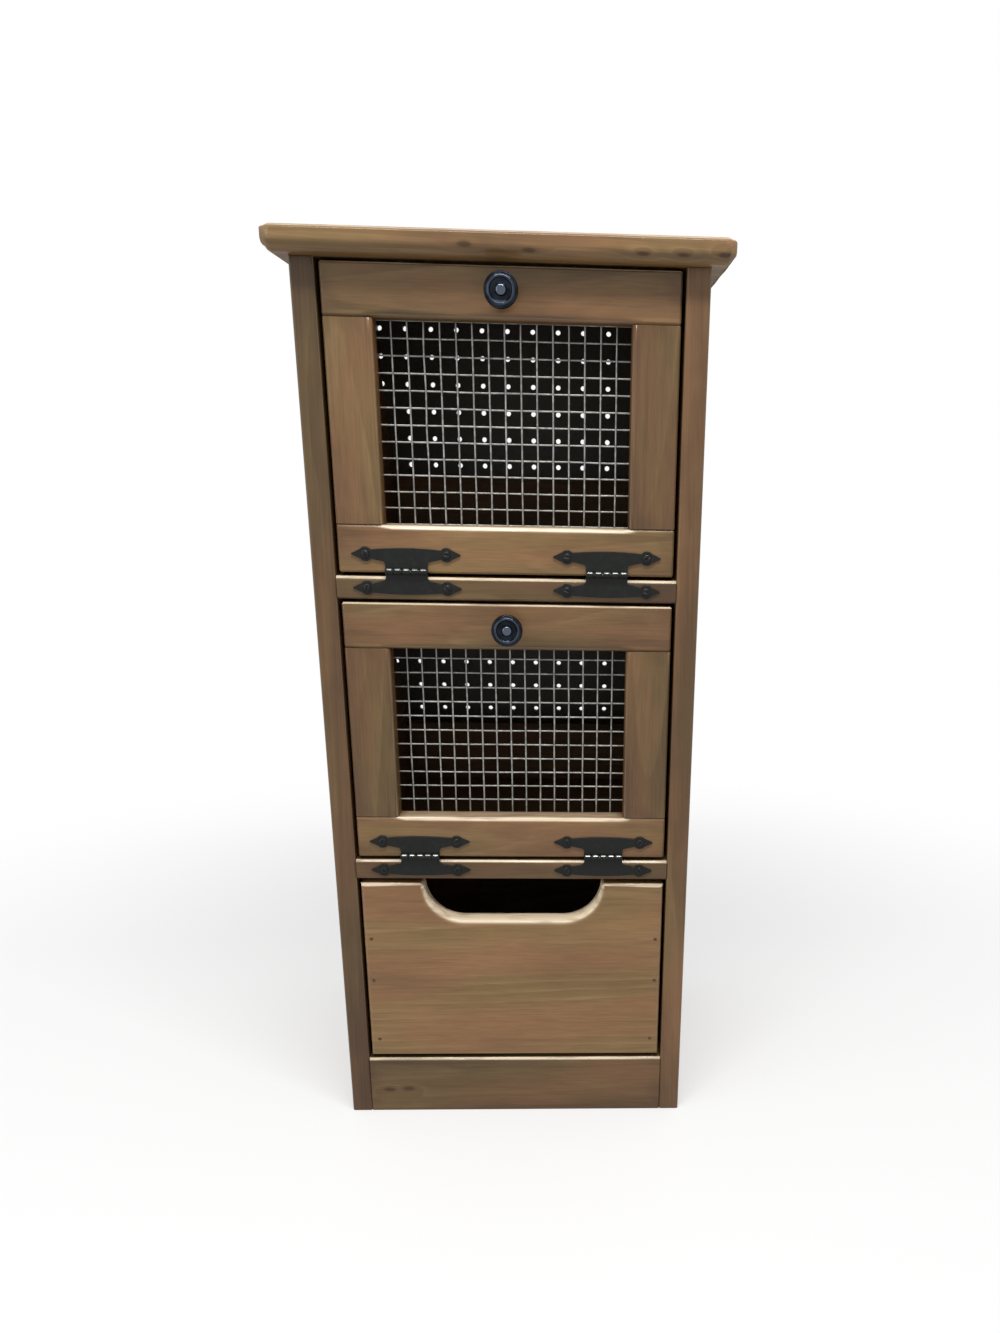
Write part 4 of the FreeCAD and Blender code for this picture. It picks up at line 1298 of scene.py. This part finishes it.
def add_leaf(bin_name, side, part, own, sign):
    """A leaf above (sign 1) or below (sign -1) its pin, with its knuckles."""
    node = "%s_%s_hinge_%s_leaf" % (bin_name, side, part)
    low, high = node_box(node)
    pin_y, pin_z = pin_of(bin_name)
    centre_x = (low[0] + high[0]) / 2
    rings, faces, rim, _ = plate(leaf_outline(), high[1] - LEAF_THICKNESS, high[1], FRONT_RIM, REAR_RIM, 3)
    places = turned(rings, 0, 2, 1) * (1, 1, sign) + (centre_x, 0, pin_z)
    faces = faces if sign > 0 else [list(face)[::-1] for face in faces]
    knuckles = [knuckle(number, (centre_x, pin_y, pin_z)) for number in own]
    # The leaves' rims are only rubbed smoother; the knuckles' crowns carry the painted highlight.
    wear = np.concatenate([RIM_RUB * rim] + [crown for _, _, crown in knuckles])
    places, faces = merge([(places, faces)] + [item[:2] for item in knuckles])
    leaf = new_object(node + "_iron", places, faces, smooth_rims(faces), {"edge": wear})
    dress(leaf, [node], "black_hinge")
    return len(faces)


faces = 0
for bin_name in ("upper", "lower"):
    for side in ("left", "right"):
        faces += add_leaf(bin_name, side, "door", range(1, KNUCKLES, 2), 1)
        faces += add_leaf(bin_name, side, "case", range(0, KNUCKLES, 2), -1)
print("hinge leaves:", faces, "faces")

# %% [markdown]
# The pins show between the knuckles and at their ends, where rubbing keeps them bright.

# %% Dress the hinge pins
HINGE_OFFSET = 82.5 * MM
PIN_END = 0.6 * PIN_RADIUS
PIN_ROUND = 0.3 * MM
pin_profile = [(-NECK_HALF, PIN_END), (PIN_ROUND - NECK_HALF, PIN_RADIUS),
               (NECK_HALF - PIN_ROUND, PIN_RADIUS), (NECK_HALF, PIN_END)]
pins = []
for bin_name in ("upper", "lower"):
    for x in (-HINGE_OFFSET, HINGE_OFFSET):
        pins.append(revolve(pin_profile, (x, *pin_of(bin_name)), (1, 0, 0), 20))
pin_piece = new_object("hinge_pins_steel", *merge(pins))
dress(pin_piece, ["hinge_pins"], "plated_screw")
print("pins:", len(pins))

# %% [markdown]
# The screws have domed, slotted heads.  A head is a square grid bent to a disc: with
# u and v from -1 to 1, x = u * sqrt(1 - v * v / 2) and y = v * sqrt(1 - u * u / 2).
# Grid lines stand close on both sides of the slot, so its walls come out steep.

# %% A slotted head
HEAD_RADIUS = 3.4 * MM
HEAD_HEIGHT = 1.9 * MM
SLOT_HALF = 0.42 * MM
SLOT_DEPTH = 0.9 * MM


def screw_head(centre, turn):
    """A slotted dome that faces -Y; turn is the slot's direction in radians."""
    slot = SLOT_HALF / HEAD_RADIUS
    half = [slot * 0.8, slot * 1.2, 0.45, 0.7, 0.88, 1.0]
    lines = np.concatenate([-np.array(half)[::-1], half])
    u, v = np.meshgrid(lines, lines, indexing="ij")
    x = u * np.sqrt(1 - v * v / 2)
    y = v * np.sqrt(1 - u * u / 2)
    far = np.clip(np.hypot(x, y), 0, 1)
    height = HEAD_HEIGHT * np.sqrt(1 - 0.92 * far ** 2)
    height = np.where(np.abs(u) < slot, np.minimum(height, HEAD_HEIGHT - SLOT_DEPTH), height)
    quads = grid_quads(*u.shape, flip=True)
    index = np.arange(u.size).reshape(u.shape)
    around = np.concatenate([index[:, 0], index[-1, 1:], index[-2::-1, -1], index[0, -2:0:-1]])
    skirt = np.arange(len(around)) + u.size
    x_all = np.concatenate([x.ravel(), x.ravel()[around]]) * HEAD_RADIUS
    y_all = np.concatenate([y.ravel(), y.ravel()[around]]) * HEAD_RADIUS
    rise = np.concatenate([height.ravel(), np.zeros(len(around))])
    walls = np.stack([around, skirt, np.roll(skirt, -1), np.roll(around, -1)], -1)
    cosine, sine = math.cos(turn), math.sin(turn)
    places = np.column_stack([x_all * cosine - y_all * sine, -rise, x_all * sine + y_all * cosine]) + centre
    faces = quads.tolist() + walls.tolist() + [skirt[::-1].tolist()]
    return places, faces


print("faces of one head:", len(screw_head((0, 0, 0), 0.0)[1]))

# %% [markdown]
# One screw holds each spear.  Nobody lines up the slots, so each has a turn of its own.

# %% Dress the hinge screws
HEAD_RUB = 0.25


def add_hinge_screws(node, bins, sign):
    """The heads of one screw node, above or below the pins."""
    generator = seeded(node)
    seat = node_box("upper_left_hinge_door_leaf")[1][1] - LEAF_THICKNESS
    heads = []
    for bin_name in bins:
        for hinge_x in (-HINGE_OFFSET, HINGE_OFFSET):
            for spear in (-SPEAR_CENTRE, SPEAR_CENTRE):
                centre = (hinge_x + spear, seat, pin_of(bin_name)[1] + sign * SPEAR_OFFSET)
                heads.append(screw_head(centre, generator.uniform(0, np.pi)))
    places, faces = merge(heads)
    piece = new_object(node + "_heads", places, faces, True, {"edge": np.full(len(places), HEAD_RUB)})
    dress(piece, [node], "black_hinge")
    print(node + ":", len(heads), "heads")


add_hinge_screws("hinge_case_screws", ("upper", "lower"), -1)
add_hinge_screws("upper_hinge_door_screws", ("upper",), 1)
add_hinge_screws("lower_hinge_door_screws", ("lower",), 1)

# %% [markdown]
# ## Knobs
# Each door has a small turned metal knob: a foot, a waist, a wide head with two rings
# turned in its face, and a raised button in the middle.  Its profile is a chain of
# (height, radius) pairs, smoothed by cutting each corner twice.

# %% Dress the knobs
# The button, which stands above this height, is painted brighter than the ring round it, partly as rubbing
# and partly as a painted highlight.
CREST_START = 19.6 * MM
CREST_RISE = 1.6 * MM
KNOB_PROFILE = [
    (0.0, 6.2), (0.0, 7.0), (1.6, 7.0), (2.4, 6.3), (4.5, 5.4), (8.0, 5.2), (11.5, 6.3), (14.0, 10.6),
    (15.0, 12.6), (16.6, 13.0), (18.6, 13.0), (19.6, 12.2), (19.4, 10.9), (20.2, 10.2), (20.4, 8.9),
    (19.2, 8.1), (18.9, 6.6), (19.3, 5.3), (19.2, 4.5), (20.6, 4.1), (21.7, 3.2), (22.0, 1.4), (22.0, 0.3),
]


def cut_corners(profile, times=2):
    """Each pass puts two points on every side, a quarter in from its ends, and keeps both ends."""
    points = np.asarray(profile, dtype=float)
    for _ in range(times):
        near = 0.75 * points[:-1] + 0.25 * points[1:]
        far = 0.25 * points[:-1] + 0.75 * points[1:]
        points = np.concatenate([points[:1], np.stack([near, far], axis=1).reshape(-1, 2), points[-1:]])
    return points


def add_knob(door):
    """The knob and, behind the rail, the head of the screw that holds it."""
    low, high = node_box(door + "_knob")
    middle = (low[2] + high[2]) / 2
    profile = cut_corners(KNOB_PROFILE) * MM
    places, faces = revolve(profile, (0, high[1], middle), (0, -1, 0), 72)
    # How pale a place is painted: partly rubbing, partly a painted highlight on the crest and button.
    rubbed = np.clip((high[1] - places[:, 1] - CREST_START) / CREST_RISE, 0, 1)
    knob = new_object(door + "_knob_turned", places, faces, True, {"edge": rubbed})
    dress(knob, [door + "_knob"], "dark_knob")
    screw_low, screw_high = node_box(door + "_knob_screw")
    head = (screw_high[2] - screw_low[2]) / 2
    rail_back = node_box(door + "_top_rail")[1][1]
    rise = screw_high[1] - rail_back
    profile = [(0, 0.6 * head), (0, head), (0.5 * rise, 0.97 * head), (0.85 * rise, 0.8 * head),
               (rise, 0.45 * head), (0.7 * rise, 0.4 * head), (0.6 * rise, 0.1 * head)]
    screw = new_object(door + "_knob_screw_head", *revolve(profile, (0, rail_back, middle), (0, 1, 0), 32))
    dress(screw, [door + "_knob_screw"], "plated_screw")
    print(door, "knob:", len(knob.data.polygons), "faces")


for door in ("upper", "lower"):
    add_knob(door)

# %% [markdown]
# ## Nails
# The drawer's front is nailed to its two sides.  The heads are punched below the face and
# stopped with dark putty, so small brown dots show near both ends, three at each.

# %% Dress the nails
NAIL_RADIUS = 1.7 * MM
NAIL_INSET = 7.0 * MM
NAIL_HEIGHTS = (0.1, 0.45, 0.69)
low, high = node_box("drawer_front")
nails = []
generator = seeded("nails")
for x in (low[0] + NAIL_INSET, high[0] - NAIL_INSET):
    for share in NAIL_HEIGHTS:
        centre = (x + generator.normal(0, 1 * MM), low[1], low[2] + share * (high[2] - low[2]))
        profile = [(-0.4 * MM, NAIL_RADIUS), (0.02 * MM, NAIL_RADIUS), (0.08 * MM, 0.6 * NAIL_RADIUS)]
        nails.append(revolve(profile, centre, (0, -1, 0), 16))
places, faces = merge(nails)
stopping = wood_attributes("drawer_front_nails", places, ALONG_X, np.zeros(len(places)), 0.0)
nail_piece = new_object("drawer_front_nails", places, faces, True, stopping)
dress(nail_piece, [], "stained_pine", node_body("drawer_front"))
print("nails:", len(nails))

# %% [markdown]
# ## Camera
# The photograph was taken standing close, from above the cabinet's middle and a little
# to its right, looking down.  The lens is given as its focal length in pixels of the
# picture's height, and the shift moves the frame so that the cabinet stands in it.

# %% Place the camera
PICTURE_WIDTH = 1000.0
PICTURE_HEIGHT = 1333.0
FOCAL_LENGTH = 1120.0
SENSOR = 36.0
OPTICAL_CENTRE = (630.2, 882.1)
CAMERA_PLACE = (0.0572, -1.0971, 0.6053)
LOOK_DOWN = 20.706
LOOK_RIGHT = 3.004
LEAN = 1.263

camera_data = bpy.data.cameras.new("camera")
camera = bpy.data.objects.new("camera", camera_data)
bpy.context.scene.collection.objects.link(camera)
bpy.context.scene.camera = camera
camera_data.sensor_width = SENSOR
camera_data.lens = FOCAL_LENGTH / PICTURE_HEIGHT * SENSOR
camera_data.shift_x = (PICTURE_WIDTH / 2 - OPTICAL_CENTRE[0]) / PICTURE_HEIGHT
camera_data.shift_y = (OPTICAL_CENTRE[1] - PICTURE_HEIGHT / 2) / PICTURE_HEIGHT
heading = Matrix.Rotation(math.radians(-LOOK_RIGHT), 3, "Z")
pitch = Matrix.Rotation(math.radians(90 - LOOK_DOWN), 3, "X")
lean = Matrix.Rotation(math.radians(LEAN), 3, "Z")
camera.location = CAMERA_PLACE
camera.rotation_euler = (heading @ pitch @ lean).to_euler()
print("lens %.1f mm, shift %.3f, %.3f" % (camera_data.lens, camera_data.shift_x, camera_data.shift_y))

# %% [markdown]
# ## Studio
# A plain white room: even light from all round, a long lamp above the front that draws
# the bright lines on the upper edges, and a weaker one from the left.

# %% Lamps
# Place, target, width, height and watts of each lamp.
LAMPS = {"overhead": ((0.1, -0.8, 1.9), (0, -0.1, 0.4), 1.3, 0.14, 24),
         "left": ((-1.7, -1.3, 1.0), (0, 0, 0.4), 0.9, 1.4, 8)}


def add_area_light(name, place, target, width, height, watts):
    """A rectangular lamp at a place, turned to a target."""
    lamp = bpy.data.lights.new(name, "AREA")
    lamp.shape = "RECTANGLE"
    lamp.size = width
    lamp.size_y = height
    lamp.energy = watts
    item = bpy.data.objects.new(name, lamp)
    bpy.context.scene.collection.objects.link(item)
    item.location = place
    item.rotation_euler = (Vector(target) - Vector(place)).to_track_quat("-Z", "Y").to_euler()


for name, values in LAMPS.items():
    add_area_light(name, *values)
print("lamps:", ", ".join(LAMPS))

# %% [markdown]
# What the camera sees of the world is pure white, and so is what mirrors in polished
# parts, while the light that falls from it on the cabinet is weaker.

# %% World
ROOM_LIGHT = 0.55


def seen_share(tree):
    """1 for what the camera sees directly, in a mirror or through glass, and 0 for the light that falls."""
    ray = tree.nodes.new("ShaderNodeLightPath")
    share = ray.outputs["Is Camera Ray"]
    for other in ("Is Glossy Ray", "Is Transmission Ray"):
        either = tree.nodes.new("ShaderNodeMath")
        either.operation = "MAXIMUM"
        tree.links.new(share, either.inputs[0])
        tree.links.new(ray.outputs[other], either.inputs[1])
        share = either.outputs[0]
    return share


world = bpy.data.worlds.new("studio")
bpy.context.scene.world = world
world.use_nodes = True
tree = world.node_tree
tree.nodes["Background"].inputs["Color"].default_value = (1.0, 1.0, 1.0, 1)
strength = tree.nodes.new("ShaderNodeMapRange")
strength.inputs["To Min"].default_value = ROOM_LIGHT
tree.links.new(seen_share(tree), strength.inputs["Value"])
tree.links.new(strength.outputs[0], tree.nodes["Background"].inputs["Strength"])

bpy.context.scene.view_settings.view_transform = "Standard"
print("the room lights the cabinet with", ROOM_LIGHT)

# %% [markdown]
# The floor is white paper to the camera and a duller grey to the light that it throws
# back, as a real room's floor is.  It fades into the white world a little way out, so
# there is no horizon, while the shadow at the cabinet's feet stays.

# %% Floor
FLOOR_REACH = 30.0
FADE_START = 0.4
FADE_END = 1.2
NEAR_GLOW = 0.45
DULL_GREY = (0.55, 0.55, 0.55, 1)
PAPER_WHITE = (0.9, 0.9, 0.9, 1)


def paper():
    """White where it is seen, grey to the light it throws back, and glowing white far out."""
    r = Recipe("floor_paper")
    seen = seen_share(r.tree)
    r.finish(Base_Color=r.mix(seen, DULL_GREY, PAPER_WHITE), Roughness=0.9, Specular_IOR_Level=0.0)
    glow = r.node("Emission", {"Color": (1, 1, 1, 1), "Strength": 1.0})
    far = r.length(r.place())
    share = r.math("MULTIPLY", r.soft_step(far, FADE_START, FADE_END, NEAR_GLOW, 1.0), seen)
    blend = r.node("MixShader", {0: share, 1: r.shader.outputs[0], 2: glow})
    r.tree.links.new(blend, r.tree.nodes["Material Output"].inputs["Surface"])
    return r.material


corners = [(x * FLOOR_REACH, y * FLOOR_REACH, 0) for x, y in ((-1, -1), (1, -1), (1, 1), (-1, 1))]
floor = new_object("floor", corners, [(0, 1, 2, 3)], smooth=False)
floor.data.materials.append(paper())
floor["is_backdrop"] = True
print("the floor reaches", FLOOR_REACH, "m each way")

# %% Finish
low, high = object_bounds()
print("dressed size in mm:", [round((b - a) * 1000, 1) for a, b in zip(low, high)])
